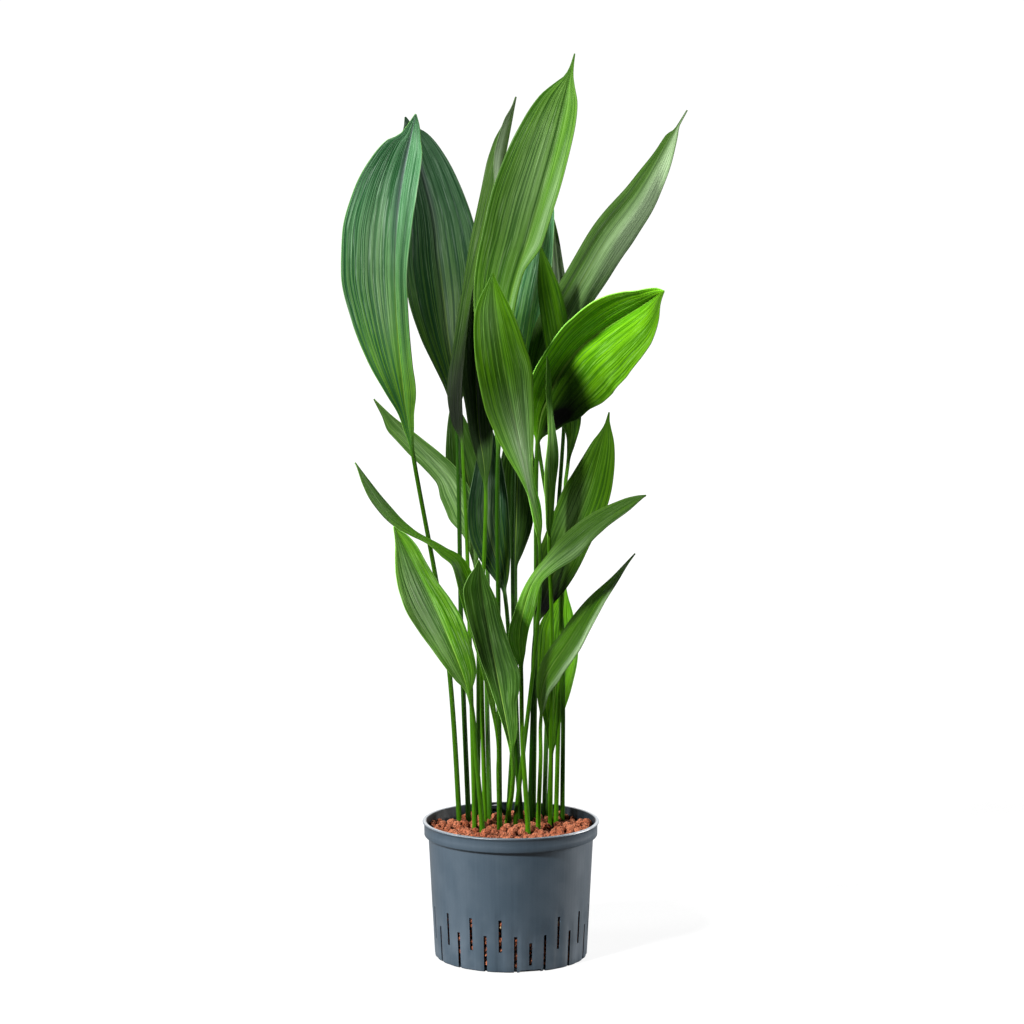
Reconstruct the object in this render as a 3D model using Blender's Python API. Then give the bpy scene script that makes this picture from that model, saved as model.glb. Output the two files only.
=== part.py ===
"""Cast iron plant (Aspidistra elatior) growing in a slotted culture pot of expanded clay granules.

The pot stands on z = 0 with its axis on world Z, and its front is towards -Y. Dimensions below are
in millimetres and become metres as meshes are made.
"""
import math
import random
from dataclasses import dataclass

import bmesh
import bpy
from mathutils import Vector, geometry

MM = 0.001
GAP = 0.3

# Pot
POT_HEIGHT = 120.0
LIP_RADIUS = 77.5
LIP_DEPTH = 2.5
COLLAR_RADIUS = 76.0
COLLAR_DEPTH = 13.0
WALL_TOP_RADIUS = 72.4
FOOT_RADIUS = 67.0
FOOT_EDGE = 1.2
WALL = 2.0
FLOOR = 3.0
POT_SIDES = 64

# Slots round the lower wall, counted from the water notch
SLOT_COUNT = 32
NOTCH_ANGLE = 14.7
SLOT_WIDTH = 2.4
HIGH_SLOT = (18.0, 46.5)
LOW_SLOT = (-1.0, 32.0)
SHORT_SLOT = (6.0, 26.0)
NOTCH_WIDTH = 19.0
NOTCH_HEIGHT = 2.2
NOTCH_INNER_RADIUS = 63.0
FLOOR_SLOT_COUNT = 10
FLOOR_SLOT = (26.0, 52.0)

# The turned rings start here, so that each slot is cut in the middle of a facet
POT_START_ANGLE = NOTCH_ANGLE - 180.0 / POT_SIDES

# Gauge socket: a small bracket inside the collar, opposite the notch
SOCKET_WIDTH = 12.0
SOCKET_REACH = 8.0
SOCKET_Z = (113.5, 118.8)
SOCKET_BORE = 2.6

# Granules
FILL_TOP = 109.4
PEBBLE_PITCH = 8.2
PEBBLE_RELIEF = 2.6
PEBBLE_SEED = 7
RELIEF_PITCH = 3.6

# Stalks and the rhizome that carries them
STALK_FOOT_RADIUS = 2.2
STALK_NECK_RADIUS = 1.6
STALK_FOOT_Z = 74.0
STALK_UPRIGHT_Z = 114.0
STALK_HOLE_Z = 70.0
STALK_HOLE_RADIUS = 2.8
RHIZOME_RADIUS = 8.0
RHIZOME_CREST_Z = 72.0
RHIZOME_RUNS = (
    ((-50, 36), (-36, 38), (-20, 34), (-4, 36), (12, 40), (28, 42), (48, 38)),
    ((-20, 34), (-12, 20), (-2, 8), (10, -6), (16, -16)),
    ((-12, 20), (-22, 6), (-28, -14)),
)

# Leaf section
MIDRIB_THICKNESS = 1.5
MARGIN_THICKNESS = 0.8
STALK_RINGS = 5
BLADE_RINGS = 14
NECK_BLEND = 0.07
TIP_HALF_WIDTH = 0.9
SECTION = (-1.0, -0.55, 0.0, 0.55, 1.0)


@dataclass(frozen=True)
class Leaf:
    """One leaf. Points are (x, y, z) along its centre line, and the stalk starts at its foot.

    Each margin is a row of stations: (share of the blade's length, half width, degrees by which
    the half is bent towards the upper face). face_low and face_high point the way the upper face
    looks at the neck and at the tip.
    """

    name: str
    stalk: tuple
    blade: tuple
    left: tuple
    right: tuple
    face_low: tuple = (0, -1, 0)
    face_high: tuple = (0, -1, 0)
    wave: float = 1.5
    waves: float = 2.0


def arched(half_width, widest=0.45, fold=15.0):
    """Return the stations of a plain arched margin."""
    power = math.log(0.5) / math.log(widest)
    return tuple((share, max(half_width * max(math.sin(math.pi * share ** power), 0.0)
                             ** (1.35 - 0.65 * share), 0.4), fold * min(share / 0.4, 1.0))
                 for share in (0.0, 0.06, 0.14, 0.26, 0.4, 0.54, 0.68, 0.8, 0.9, 0.96, 1.0))


LEAVES = (
    Leaf("leaf_left_tall", ((-46, 35), (-57, 34, 270)),
         ((-85, 8, 441), (-95, -18, 525), (-98, -38, 605), (-93, -50, 670), (-79, -75, 733)),
         ((0, 1.5, 0), (.12, 6.5, 3), (.2, 15.5, 5), (.3, 28, 5), (.42, 39, 5), (.55, 46.5, 5),
          (.65, 46, 5), (.76, 39.5, 5), (.85, 30, 8), (.915, 19, 10), (.935, 9.5, 8), (1, .5, 0)),
         ((0, 1.5, 0), (.12, 6.5, 30), (.2, 15.5, 55), (.3, 27, 75), (.42, 38, 82),
          (.55, 45, 84), (.65, 44, 80), (.76, 38, 74), (.85, 29, 66), (.91, 21, 58),
          (.935, 11, 40), (.97, 5.5, 20), (1, .5, 0)),
         (0.2, -1, 0), (0.1, -1, 0)),
    Leaf("leaf_left_back", ((-38, 44), (-44, 56, 270)),
         ((-48, 70, 466), (-57, 84, 548), (-64, 94, 605), (-71, 102, 655), (-94, 110, 734)),
         ((0, 1.5, 0), (.1, 8.6, 5), (.18, 17, 10), (.28, 27, 15), (.4, 36, 20), (.5, 38, 20),
          (.6, 36, 20), (.7, 31.5, 20), (.8, 26.5, 20), (.88, 20, 15), (.93, 12, 10),
          (.97, 4, 5), (1, .5, 0)),
         ((0, 1.5, 0), (.1, 8.6, 5), (.18, 17, 10), (.28, 27, 15), (.4, 36, 20), (.5, 38, 22),
          (.6, 36, 24), (.7, 32, 24), (.8, 27, 22), (.88, 20.5, 18), (.93, 14, 10),
          (.97, 4, 5), (1, .5, 0)),
         (0.2, -1, 0), (0.3, -1, 0)),
    Leaf("leaf_centre_back", ((-32, 8), (-38, 20, 347)),
         ((-42, 25, 441), (-44, 38, 495), (-34, 53, 571), (-14, 66, 658), (4, 75, 751)),
         ((0, 1.5, 0), (.05, 8, 4), (.1, 14, 8), (.2, 19, 12), (.33, 18, 12), (.42, 18, 12),
          (.6, 20, 12), (.72, 22, 12), (.8, 23, 12), (.87, 19, 12), (.92, 11, 10), (.96, 4, 5),
          (1, .4, 0)),
         ((0, 1.5, 0), (.05, 5, 10), (.1, 10, 16), (.2, 14, 25), (.35, 18, 27), (.5, 22, 27),
          (.62, 21, 32),
          (.74, 17, 44), (.85, 13, 72), (.93, 8, 75), (.97, 3, 60), (1, .4, 30)),
         (-0.9, -0.45, 0), (-0.9, -0.5, 0)),
    Leaf("leaf_centre_tall", ((-10, 25), (-11, 10, 306)),
         ((-11, -5, 442), (-2, -20, 564), (16, -30, 632), (38, -32, 712), (54, -20, 785)),
         ((0, 1.5, 0), (.1, 8, 5), (.2, 17, 10), (.37, 32, 15), (.5, 39, 15), (.62, 41, 15),
          (.73, 37.7, 15), (.82, 30.5, 15), (.88, 22, 15), (.92, 11.5, 10), (.945, 4, 8),
          (.97, 1.4, 5), (1, .35, 0)),
         ((0, 1.5, 0), (.1, 8, 30), (.2, 17, 60), (.37, 31, 82), (.47, 37, 82), (.55, 39.5, 69),
          (.65, 40, 66), (.77, 33.5, 60), (.87, 21, 50), (.92, 9, 45), (.945, 3.5, 30),
          (.97, 1.4, 10), (1, .35, 0)),
         (0.1, -1, 0), (-0.2, -1, 0)),
    Leaf("leaf_right_tall", ((46, 40), (44, 40, 308)),
         ((22, 62, 470), (36, 67, 534), (79, 75, 617), (114, 77, 665), (140, 70, 713),
          (154, 62, 739)),
         ((0, 1.5, 0), (.1, 9, 8), (.18, 20, 15), (.28, 25, 15), (.4, 22, 15), (.52, 20, 15),
          (.64, 18.5, 15), (.76, 15, 15), (.86, 9, 15), (.905, 7.5, 10), (.935, 2, 5), (1, .4, 0)),
         ((0, 1.5, 0), (.1, 9, 8), (.2, 22, 15), (.35, 38, 15), (.47, 48, 15), (.56, 49, 15),
          (.66, 41, 15), (.76, 33, 15), (.84, 27, 15), (.9, 15, 12), (.93, 8, 10), (.95, 2, 5),
          (1, .4, 0)),
         (-0.65, -0.6, 0.45), (-0.65, -0.6, 0.45)),
    Leaf("leaf_right_broad", ((20, 44), (22, 25, 311)),
         ((23, 5, 450), (34, -8, 496), (53, -22, 529), (77, -38, 551), (106, -62, 571),
          (127, -92, 587)),
         ((0, 1.5, 0), (.1, 10, 15), (.2, 19, 30), (.33, 27, 45), (.46, 29.5, 50),
          (.57, 31.5, 50), (.69, 32, 50), (.78, 29.5, 50), (.85, 24, 50), (.9, 17, 50),
          (.95, 10, 40), (.98, 5, 20), (1, .6, 0)),
         ((0, 1.5, 0), (.1, 19, 3), (.22, 34, 5), (.35, 45, 5), (.46, 47.5, 5), (.55, 46.5, 5),
          (.71, 39.5, 5), (.8, 33, 5), (.87, 26, 5), (.92, 18, 5), (.955, 8, 3), (1, .6, 0)),
         (-0.1, -1, 0.1), (0.1, -1, 0.3)),
    Leaf("leaf_edge_on", ((35, 33), (36, 8, 278)),
         ((33, -20, 370), (33, -40, 458), (31, -52, 530)),
         arched(12.5, 0.3, 10), arched(12.5, 0.3, 10),
         (1, -0.4, 0), (1, -0.5, 0)),
    Leaf("leaf_right_inner", ((40, 26), (47, 28, 390)),
         ((50, 32, 430), (53, 38, 471), (43, 42, 538), (26, 38, 621)),
         ((0, 1.5, 0), (.1, 3, 5), (.2, 8, 8), (.35, 13, 10), (.5, 13.5, 12), (.65, 13, 12),
          (.8, 11.5, 10), (.9, 7, 8), (.96, 3, 5), (1, .4, 0)),
         ((0, 1.5, 0), (.1, 5, 5), (.2, 10, 8), (.35, 13, 10), (.5, 13.5, 12), (.65, 13.5, 12),
          (.8, 11.5, 10), (.9, 7, 8), (.96, 3, 5), (1, .4, 0)),
         (-0.5, -0.8, 0), (-0.5, -0.8, 0)),
    Leaf("leaf_hidden_centre", ((8, 46), (2, 58, 308)),
         ((4, 70, 458), (15, 90, 540), (26, 108, 605), (37, 118, 664)),
         arched(28), arched(15),
         (0.2, -1, 0), (0.3, -1, 0)),
    Leaf("leaf_hidden_right", ((30, 56), (36, 100, 280)),
         ((49, 114, 482), (46, 135, 570), (38, 155, 646)),
         arched(26), arched(7),
         (0.4, -0.9, 0), (0.5, -0.8, 0)),
    Leaf("leaf_front", ((4, 20), (22, -10, 281)),
         ((25, -32, 364), (14, -50, 421), (-2, -72, 503), (-12, -85, 563), (-15, -88, 602)),
         ((0, 1.5, 0), (.1, 4, 5), (.2, 2.5, 8), (.28, 7, 10), (.36, 14, 10), (.45, 20.5, 10),
          (.57, 25.5, 10), (.68, 24.7, 10), (.8, 21, 10), (.87, 17.5, 10), (.92, 12, 8),
          (.96, 6, 5), (1, .4, 0)),
         ((0, 1.5, 0), (.08, 6, 5), (.16, 9, 8), (.24, 8, 10), (.42, 14, 10), (.54, 19, 10),
          (.66, 23, 10), (.75, 20, 10), (.83, 16.5, 10), (.89, 12, 8), (.95, 5.5, 5),
          (1, .4, 0)),
         (0.8, -0.6, 0), (-0.1, -1, 0)),
    Leaf("leaf_right_middle", ((17, 36), (19, 30, 203)),
         ((22, 15, 288), (43, 0, 350), (68, -14, 413), (84, -28, 481)),
         ((0, 1.5, 0), (.1, 8, 5), (.22, 17, 10), (.34, 21.5, 12), (.5, 22, 12), (.61, 21.5, 12),
          (.72, 17, 12), (.8, 12.5, 12), (.86, 8.5, 10), (.91, 3.8, 8), (.95, 1.2, 5),
          (1, .4, 0)),
         ((0, 1.5, 0), (.1, 8, 5), (.25, 18, 10), (.4, 23, 12), (.55, 23.5, 12), (.65, 22, 12),
          (.75, 19, 12), (.83, 15.5, 12), (.89, 11, 10), (.94, 5, 5), (.97, 2, 3), (1, .4, 0)),
         (-0.5, -0.8, 0.2), (-0.3, -0.9, 0.1)),
    Leaf("leaf_right_arching", ((15, -12), (10, -20, 195)),
         ((9, -30, 256), (7, -36, 283), (10, -44, 308), (22, -62, 343), (58, -85, 380),
          (84, -108, 403), (111, -132, 421)),
         ((0, 1.5, 0), (.06, 5, 4), (.15, 10, 8), (.24, 7.5, 10), (.36, 5.5, 12), (.46, 6.5, 12),
          (.6, 11.5, 12), (.73, 13, 12), (.88, 9, 12), (.95, 5, 8), (1, .4, 0)),
         ((0, 1.5, 0), (.07, 5, 4), (.16, 7.5, 8), (.3, 9.5, 10), (.43, 9.5, 12), (.5, 13, 12),
          (.62, 21, 12), (.75, 26, 12), (.86, 25, 12), (.94, 16, 8), (.98, 5, 4), (1, .4, 0)),
         (0.3, -0.9, 0.3), (-0.5, -0.4, 0.8)),
    Leaf("leaf_left_low", ((-25, -10), (-30, -15, 176)),
         ((-35, -22, 230), (-53, -45, 287), (-75, -68, 340), (-98, -92, 390)),
         ((0, 1.5, 0), (.07, 3, 2), (.13, 7.5, 3), (.23, 12.5, 4), (.33, 16.5, 5), (.47, 21.5, 5),
          (.6, 24, 5), (.7, 22, 5), (.78, 18, 5), (.86, 11.5, 5), (.93, 5, 3), (1, .4, 0)),
         ((0, 1.5, 0), (.05, 4, 8), (.14, 12, 25), (.25, 18, 42), (.36, 22.5, 52), (.47, 24.5, 55),
          (.57, 22, 55), (.68, 17, 55), (.78, 15, 55), (.87, 13, 50), (.94, 8, 40), (.98, 2, 20),
          (1, .4, 0)),
         (0.1, -1, 0.3), (0.1, -1, 0.3)),
    Leaf("leaf_front_low", ((-3, 20), (1, 0, 146)),
         ((1, -16, 181), (-11, -45, 252), (-22, -68, 316), (-27, -80, 360)),
         ((0, 1.5, 0), (.1, 2.5, 5), (.31, 6.5, 12), (.42, 9, 15), (.52, 12, 15), (.65, 14.5, 15),
          (.78, 16.5, 15), (.87, 17, 15), (.93, 11, 10), (.97, 4, 5), (1, .4, 0)),
         ((0, 1.5, 0), (.12, 7.5, 5), (.27, 12, 12), (.34, 16.5, 15), (.43, 19.5, 15),
          (.5, 17.5, 15), (.6, 15, 15), (.7, 13, 15), (.8, 11, 15), (.89, 6, 10), (.95, 3, 5),
          (1, .4, 0)),
         (0.1, -1, 0.2), (0.1, -1, 0.2)),
    Leaf("leaf_right_low", ((24, 3), (26, -5, 174)),
         ((26, -10, 209), (30, -20, 248), (50, -32, 283), (73, -48, 322), (105, -65, 364)),
         ((0, 1.5, 0), (.05, 2.5, 3), (.14, 7.5, 6), (.24, 13, 10), (.36, 15, 15), (.48, 13, 15),
          (.6, 9, 15), (.72, 6, 15), (.84, 3, 10), (.93, 1.5, 5), (1, .4, 0)),
         ((0, 1.5, 0), (.07, 6, 3), (.16, 12, 6), (.28, 25, 10), (.4, 35, 15), (.53, 39, 15),
          (.64, 29, 15), (.75, 19, 15), (.86, 11, 10), (.94, 4, 5), (1, .4, 0)),
         (-0.65, -0.5, 0.5), (-0.6, -0.5, 0.6)),
    Leaf("leaf_right_low_back", ((34, 44), (35, 50, 140)),
         ((36, 56, 165), (40, 68, 225), (44, 82, 276), (49, 92, 315)),
         ((0, 1.5, 0), (.18, 7.5, 6), (.35, 15, 10), (.54, 20.5, 12), (.7, 21, 12),
          (.82, 15.5, 10), (.92, 7, 5), (1, .4, 0)),
         ((0, 1.5, 0), (.2, 6.5, 6), (.4, 14, 10), (.6, 18, 12), (.74, 15, 12), (.85, 9.5, 10),
          (.94, 3.5, 5), (1, .4, 0)),
         (0, -1, 0), (0.2, -1, 0)),
    Leaf("leaf_left_arching", ((-30, 56), (-29, 66, 223)),
         ((-31, 72, 330), (-50, 82, 400), (-85, 90, 443), (-123, 93, 483)),
         ((0, 1.5, 0), (.17, 5, 5), (.3, 15, 10), (.4, 15.5, 12), (.5, 10.5, 12), (.6, 10, 12),
          (.72, 12, 12), (.83, 13, 12), (.92, 6, 8), (1, .4, 0)),
         ((0, 1.5, 0), (.15, 8, 5), (.3, 17, 10), (.47, 19, 12), (.59, 15, 12), (.71, 9.5, 12),
          (.82, 4.5, 10), (.9, 2, 5), (1, .4, 0)),
         (-0.3, -0.9, -0.2), (-0.3, -0.7, -0.5)),
    Leaf("leaf_left_twisted", ((-10, 10), (-11, 12, 157)),
         ((-12, 10, 195), (-26, 5, 270), (-42, -2, 339), (-59, -6, 359), (-85, -10, 376),
          (-106, -16, 395), (-133, -30, 438)),
         ((0, 1.5, 0), (.2, 4, 5), (.35, 7, 8), (.48, 10, 10), (.6, 9.5, 10), (.67, 5.5, 10),
          (.74, 9, 10), (.83, 14, 10), (.9, 17, 8), (.95, 12, 5), (.985, 4, 3), (1, .4, 0)),
         ((0, 1.5, 0), (.2, 4, 5), (.35, 7, 8), (.5, 7.5, 10), (.62, 4, 10), (.7, 3.5, 10),
          (.8, 6, 10), (.88, 3.5, 8), (.95, 1.5, 5), (1, .4, 0)),
         (0.4, -0.9, 0.2), (0.2, -0.4, 0.9)),
    Leaf("leaf_dark_left", ((-23, 30), (-26, 24, 273)),
         ((-22, 28, 407), (-29, 46, 468), (-31, 62, 538), (-25, 76, 617)),
         ((0, 1.5, 0), (.1, 5, 5), (.25, 9, 10), (.4, 13, 12), (.55, 20, 12), (.75, 19, 12),
          (.9, 11, 8), (1, .4, 0)),
         arched(20, fold=12),
         (-0.5, -0.9, 0), (-0.6, -0.8, 0)),
    Leaf("leaf_dark_centre", ((9, 34), (1, 34, 221)),
         ((-5, 40, 312), (-20, 48, 372), (-20, 54, 424), (-20, 62, 463)),
         arched(19, fold=12), arched(19, fold=12),
         (0.3, -1, 0), (0.2, -1, 0)),
    Leaf("leaf_inner_left", ((-19, 50), (-22, 92, 231)),
         ((-22, 125, 337), (-38, 145, 399), (-53, 158, 475)),
         arched(20, fold=12), arched(20, fold=12),
         (0.2, -1, 0), (0, -1, 0)),
    Leaf("leaf_inner_right", ((-2, 54), (4, 70, 225)),
         ((4, 88, 327), (6, 104, 411), (8, 120, 481)),
         arched(18, fold=12), arched(18, fold=12),
         (-0.2, -1, 0), (0, -1, 0)),
)


def clear_scene():
    """Remove every object of the open scene."""
    for obj in list(bpy.data.objects):
        bpy.data.objects.remove(obj, do_unlink=True)


def material(name, colour, roughness, metallic=0.0):
    """Return a Principled material of one colour."""
    made = bpy.data.materials.new(name)
    made.use_nodes = True
    shader = made.node_tree.nodes["Principled BSDF"]
    shader.inputs["Base Color"].default_value = (*colour, 1.0)
    shader.inputs["Roughness"].default_value = roughness
    shader.inputs["Metallic"].default_value = metallic
    made.diffuse_color = (*colour, 1.0)
    return made


def add_object(name, mesh, finish, smooth_angle=math.radians(40)):
    """Link a mesh to the scene as a named, smooth-shaded object with one material."""
    obj = bpy.data.objects.new(name, mesh)
    bpy.context.scene.collection.objects.link(obj)
    if finish is not None:
        mesh.materials.append(finish)
    mesh.shade_smooth()
    mesh.set_sharp_from_angle(angle=smooth_angle)
    return obj


def add_cutter(name, mesh):
    """Link a mesh to the scene as a hidden Boolean tool."""
    cutter = bpy.data.objects.new(name, mesh)
    bpy.context.scene.collection.objects.link(cutter)
    cutter.hide_render = True
    cutter.display_type = "WIRE"
    return cutter


def boolean(obj, tool, operation):
    """Add an exact Boolean modifier to an object."""
    modifier = obj.modifiers.new(tool.name, "BOOLEAN")
    modifier.operation = operation
    modifier.solver = "EXACT"
    modifier.object = tool


def polar(radius, angle, z):
    """Return a point in metres; the angle in degrees runs from the front towards +X."""
    turn = math.radians(angle)
    return Vector((radius * math.sin(turn), -radius * math.cos(turn), z)) * MM


def mesh_from(bm, name):
    """Turn a bmesh into a mesh with its faces looking outwards."""
    bmesh.ops.recalc_face_normals(bm, faces=bm.faces)
    mesh = bpy.data.meshes.new(name)
    bm.to_mesh(mesh)
    bm.free()
    return mesh


def loft(bm, rings):
    """Join rings of as many points each into one closed body with flat ends."""
    rows = [[bm.verts.new(point) for point in ring] for ring in rings]
    sides = len(rows[0])
    for low, high in zip(rows, rows[1:]):
        for i in range(sides):
            j = (i + 1) % sides
            bm.faces.new((low[i], low[j], high[j], high[i]))
    bm.faces.new(rows[0][::-1])
    bm.faces.new(rows[-1])


def radial_box(bm, angle, radii, width, heights):
    """Add a box that lies along one radius of the pot."""
    out = polar(1.0, angle, 0.0) / MM
    side = Vector((-out.y, out.x, 0.0)) * width / 2 * MM
    rings = []
    for z in heights:
        inner = out * radii[0] * MM + Vector((0, 0, z * MM))
        outer = out * radii[1] * MM + Vector((0, 0, z * MM))
        rings.append((inner - side, outer - side, outer + side, inner + side))
    loft(bm, rings)


def turned(name, profile):
    """Spin a (radius, z) profile, whose ends lie on the axis, once about the pot's axis."""
    bm = bmesh.new()
    points = [bm.verts.new(polar(radius, POT_START_ANGLE, z)) for radius, z in profile]
    edges = [bm.edges.new(pair) for pair in zip(points, points[1:])]
    bmesh.ops.spin(bm, geom=points + edges, cent=(0, 0, 0), axis=(0, 0, 1),
                   angle=math.tau, steps=POT_SIDES, use_duplicate=False)
    bmesh.ops.remove_doubles(bm, verts=bm.verts, dist=0.00001)
    return mesh_from(bm, name)


def inner_wall_radius(z):
    """Inner radius of the tapered wall at a height."""
    rise = z / (POT_HEIGHT - COLLAR_DEPTH)
    return FOOT_RADIUS + (WALL_TOP_RADIUS - FOOT_RADIUS) * rise - WALL


def make_pot(finish):
    """Build the pot: collar and lip over a tapered wall with slots, notch and gauge socket."""
    shoulder = POT_HEIGHT - COLLAR_DEPTH
    inner_lip = COLLAR_RADIUS - WALL
    profile = (
        (0.0, 0.0), (FOOT_RADIUS - FOOT_EDGE, 0.0), (FOOT_RADIUS, FOOT_EDGE),
        (WALL_TOP_RADIUS, shoulder - 1.0), (COLLAR_RADIUS - 1.0, shoulder),
        (COLLAR_RADIUS, shoulder + 1.0), (COLLAR_RADIUS, POT_HEIGHT - LIP_DEPTH),
        (LIP_RADIUS, POT_HEIGHT - 1.0), (LIP_RADIUS - 0.5, POT_HEIGHT),
        (inner_lip + 0.5, POT_HEIGHT), (inner_lip, POT_HEIGHT - 1.0), (inner_lip, shoulder + 2.0),
        (inner_wall_radius(shoulder), shoulder), (inner_wall_radius(FLOOR), FLOOR), (0.0, FLOOR),
    )
    pot = add_object("pot", turned("pot", profile), finish)

    bm = bmesh.new()
    reach = (FOOT_RADIUS - 6.0, LIP_RADIUS)
    for k in range(SLOT_COUNT):
        if k in (0, SLOT_COUNT // 2):
            heights = SHORT_SLOT
        else:
            heights = LOW_SLOT if k % 2 else HIGH_SLOT
        radial_box(bm, NOTCH_ANGLE + k * 360.0 / SLOT_COUNT, reach, SLOT_WIDTH, heights)
    for turn in (0.0, 180.0):
        radial_box(bm, NOTCH_ANGLE + turn, (NOTCH_INNER_RADIUS, LIP_RADIUS), NOTCH_WIDTH,
                   (-1.0, NOTCH_HEIGHT))
    for k in range(FLOOR_SLOT_COUNT):
        radial_box(bm, (k + 0.5) * 360.0 / FLOOR_SLOT_COUNT, FLOOR_SLOT, SLOT_WIDTH,
                   (-1.0, FLOOR + 1.0))
    boolean(pot, add_cutter("pot_slots", mesh_from(bm, "pot_slots")), "DIFFERENCE")

    bm = bmesh.new()
    socket_angle = NOTCH_ANGLE + 180.0
    socket_radii = (inner_lip - SOCKET_REACH, inner_lip + WALL / 2)
    radial_box(bm, socket_angle, socket_radii, SOCKET_WIDTH, SOCKET_Z)
    boolean(pot, add_cutter("gauge_socket", mesh_from(bm, "gauge_socket")), "UNION")

    bm = bmesh.new()
    bore_centre = polar(inner_lip - SOCKET_REACH / 2, socket_angle, 0.0)
    rings = [[bore_centre + polar(SOCKET_BORE, step * 30.0, z) for step in range(12)]
             for z in (SOCKET_Z[0] - 1.0, SOCKET_Z[1] + 1.0)]
    loft(bm, rings)
    boolean(pot, add_cutter("gauge_bore", mesh_from(bm, "gauge_bore")), "DIFFERENCE")
    return pot


def hex_grid(radius, pitch):
    """Yield the points of a hexagonal grid inside a circle about the axis."""
    row_pitch = pitch * math.sqrt(0.75)
    rows = int(radius / row_pitch)
    for row in range(-rows, rows + 1):
        shift = pitch / 2 if row % 2 else 0.0
        columns = int(radius / pitch) + 1
        for column in range(-columns, columns + 1):
            x, y = column * pitch + shift, row * row_pitch
            if math.hypot(x, y) < radius:
                yield x, y


def pebble_centres(radius):
    """Scatter the granules of the top layer: a loosened hexagonal grid of (x, y, size)."""
    rng = random.Random(PEBBLE_SEED)
    loose = PEBBLE_PITCH * 0.22
    return [(x + rng.uniform(-loose, loose), y + rng.uniform(-loose, loose),
             PEBBLE_PITCH * rng.uniform(0.46, 0.62)) for x, y in hex_grid(radius, PEBBLE_PITCH)]


def pebble_relief(x, y, pebbles):
    """Height of the granules above the bed at a point: the highest of the rounded tops there."""
    best = 0.0
    for centre_x, centre_y, size in pebbles:
        reach = ((x - centre_x) ** 2 + (y - centre_y) ** 2) / size ** 2
        if reach < 1.0:
            best = max(best, math.sqrt(1.0 - reach) * PEBBLE_RELIEF * size / (PEBBLE_PITCH / 2))
    return best


def make_rhizome_mesh(name, grow):
    """Build the ringed rhizome that the stalks rise from, thickened by grow for its pocket."""
    bodies = []
    for number, run in enumerate(RHIZOME_RUNS):
        radius = RHIZOME_RADIUS - number
        centre_z = RHIZOME_CREST_Z - RHIZOME_RADIUS - number
        path = smooth_path([Vector((x, y, centre_z)) for x, y in run], 3 * len(run) - 2)
        rings = []
        for i, point in enumerate(path):
            ahead = path[min(i + 1, len(path) - 1)] - path[max(i - 1, 0)]
            side = ahead.cross(Vector((0, 0, 1))).normalized()
            end = 0.62 if i in (0, len(path) - 1) else 1.0
            swell = (radius - 0.9 * (i % 2)) * end + grow
            push = ahead.normalized() * grow * (-1 if i == 0 else (1 if i == len(path) - 1 else 0))
            rings.append([(point + push + side * swell * math.cos(turn)
                           + Vector((0, 0, 1)) * swell * math.sin(turn)) * MM
                          for turn in (math.tau * step / 10 for step in range(10))])
        bm = bmesh.new()
        loft(bm, rings)
        bodies.append(mesh_from(bm, f"{name}_run_{number}"))
    return bodies


def make_rhizome(finish):
    """Join the rhizome's runs in one body and return it with its tools."""
    first, *others = make_rhizome_mesh("rhizome", 0.0)
    rhizome = add_object("rhizome", first, finish)
    for mesh in others:
        boolean(rhizome, add_cutter(mesh.name, mesh), "UNION")
    return rhizome


def make_granules(finish):
    """Build the bed of clay granules with a hole for each stalk and a pocket for the rhizome."""
    shoulder = POT_HEIGHT - COLLAR_DEPTH
    top_radius = COLLAR_RADIUS - WALL - GAP
    start = POT_START_ANGLE
    turns = [start + step * 360.0 / POT_SIDES for step in range(POT_SIDES)]
    pebbles = pebble_centres(top_radius - PEBBLE_PITCH * 0.35)
    rim = [polar(top_radius, turn, 0.0) / MM for turn in turns]
    inside = list(hex_grid(top_radius - RELIEF_PITCH * 0.6, RELIEF_PITCH))
    flat = [point.to_2d() for point in rim] + [Vector(point) for point in inside]
    loop = [(i, (i + 1) % POT_SIDES) for i in range(POT_SIDES)]
    points, _, triangles, *_ = geometry.delaunay_2d_cdt(flat, loop, [], 1, 0.0001)

    bm = bmesh.new()
    top = []
    for number, point in enumerate(points):
        bump = 0.0 if number < POT_SIDES else pebble_relief(point.x, point.y, pebbles)
        top.append(bm.verts.new(Vector((point.x, point.y, FILL_TOP + bump)) * MM))
    for corners in triangles:
        bm.faces.new([top[i] for i in corners])
    floor_z = FLOOR + GAP
    side_rings = ((inner_wall_radius(shoulder) - GAP, shoulder + GAP / 2),
                  (inner_wall_radius(floor_z) - GAP, floor_z))
    upper = top[:POT_SIDES]
    for radius, z in side_rings:
        lower = [bm.verts.new(polar(radius, turn, z)) for turn in turns]
        for i in range(POT_SIDES):
            j = (i + 1) % POT_SIDES
            bm.faces.new((upper[i], upper[j], lower[j], lower[i]))
        upper = lower
    bm.faces.new(upper)
    granules = add_object("clay_granules", mesh_from(bm, "clay_granules"), finish)

    for mesh in make_rhizome_mesh("rhizome_pocket", GAP):
        boolean(granules, add_cutter(mesh.name, mesh), "DIFFERENCE")
    bm = bmesh.new()
    for leaf in LEAVES:
        foot_x, foot_y = leaf.stalk[0]
        loft(bm, [[Vector((foot_x + STALK_HOLE_RADIUS * math.cos(turn),
                           foot_y + STALK_HOLE_RADIUS * math.sin(turn), z)) * MM
                   for turn in (math.tau * step / 8 for step in range(8))]
                  for z in (STALK_HOLE_Z, POT_HEIGHT)])
    boolean(granules, add_cutter("stalk_holes", mesh_from(bm, "stalk_holes")), "DIFFERENCE")
    return granules


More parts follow.
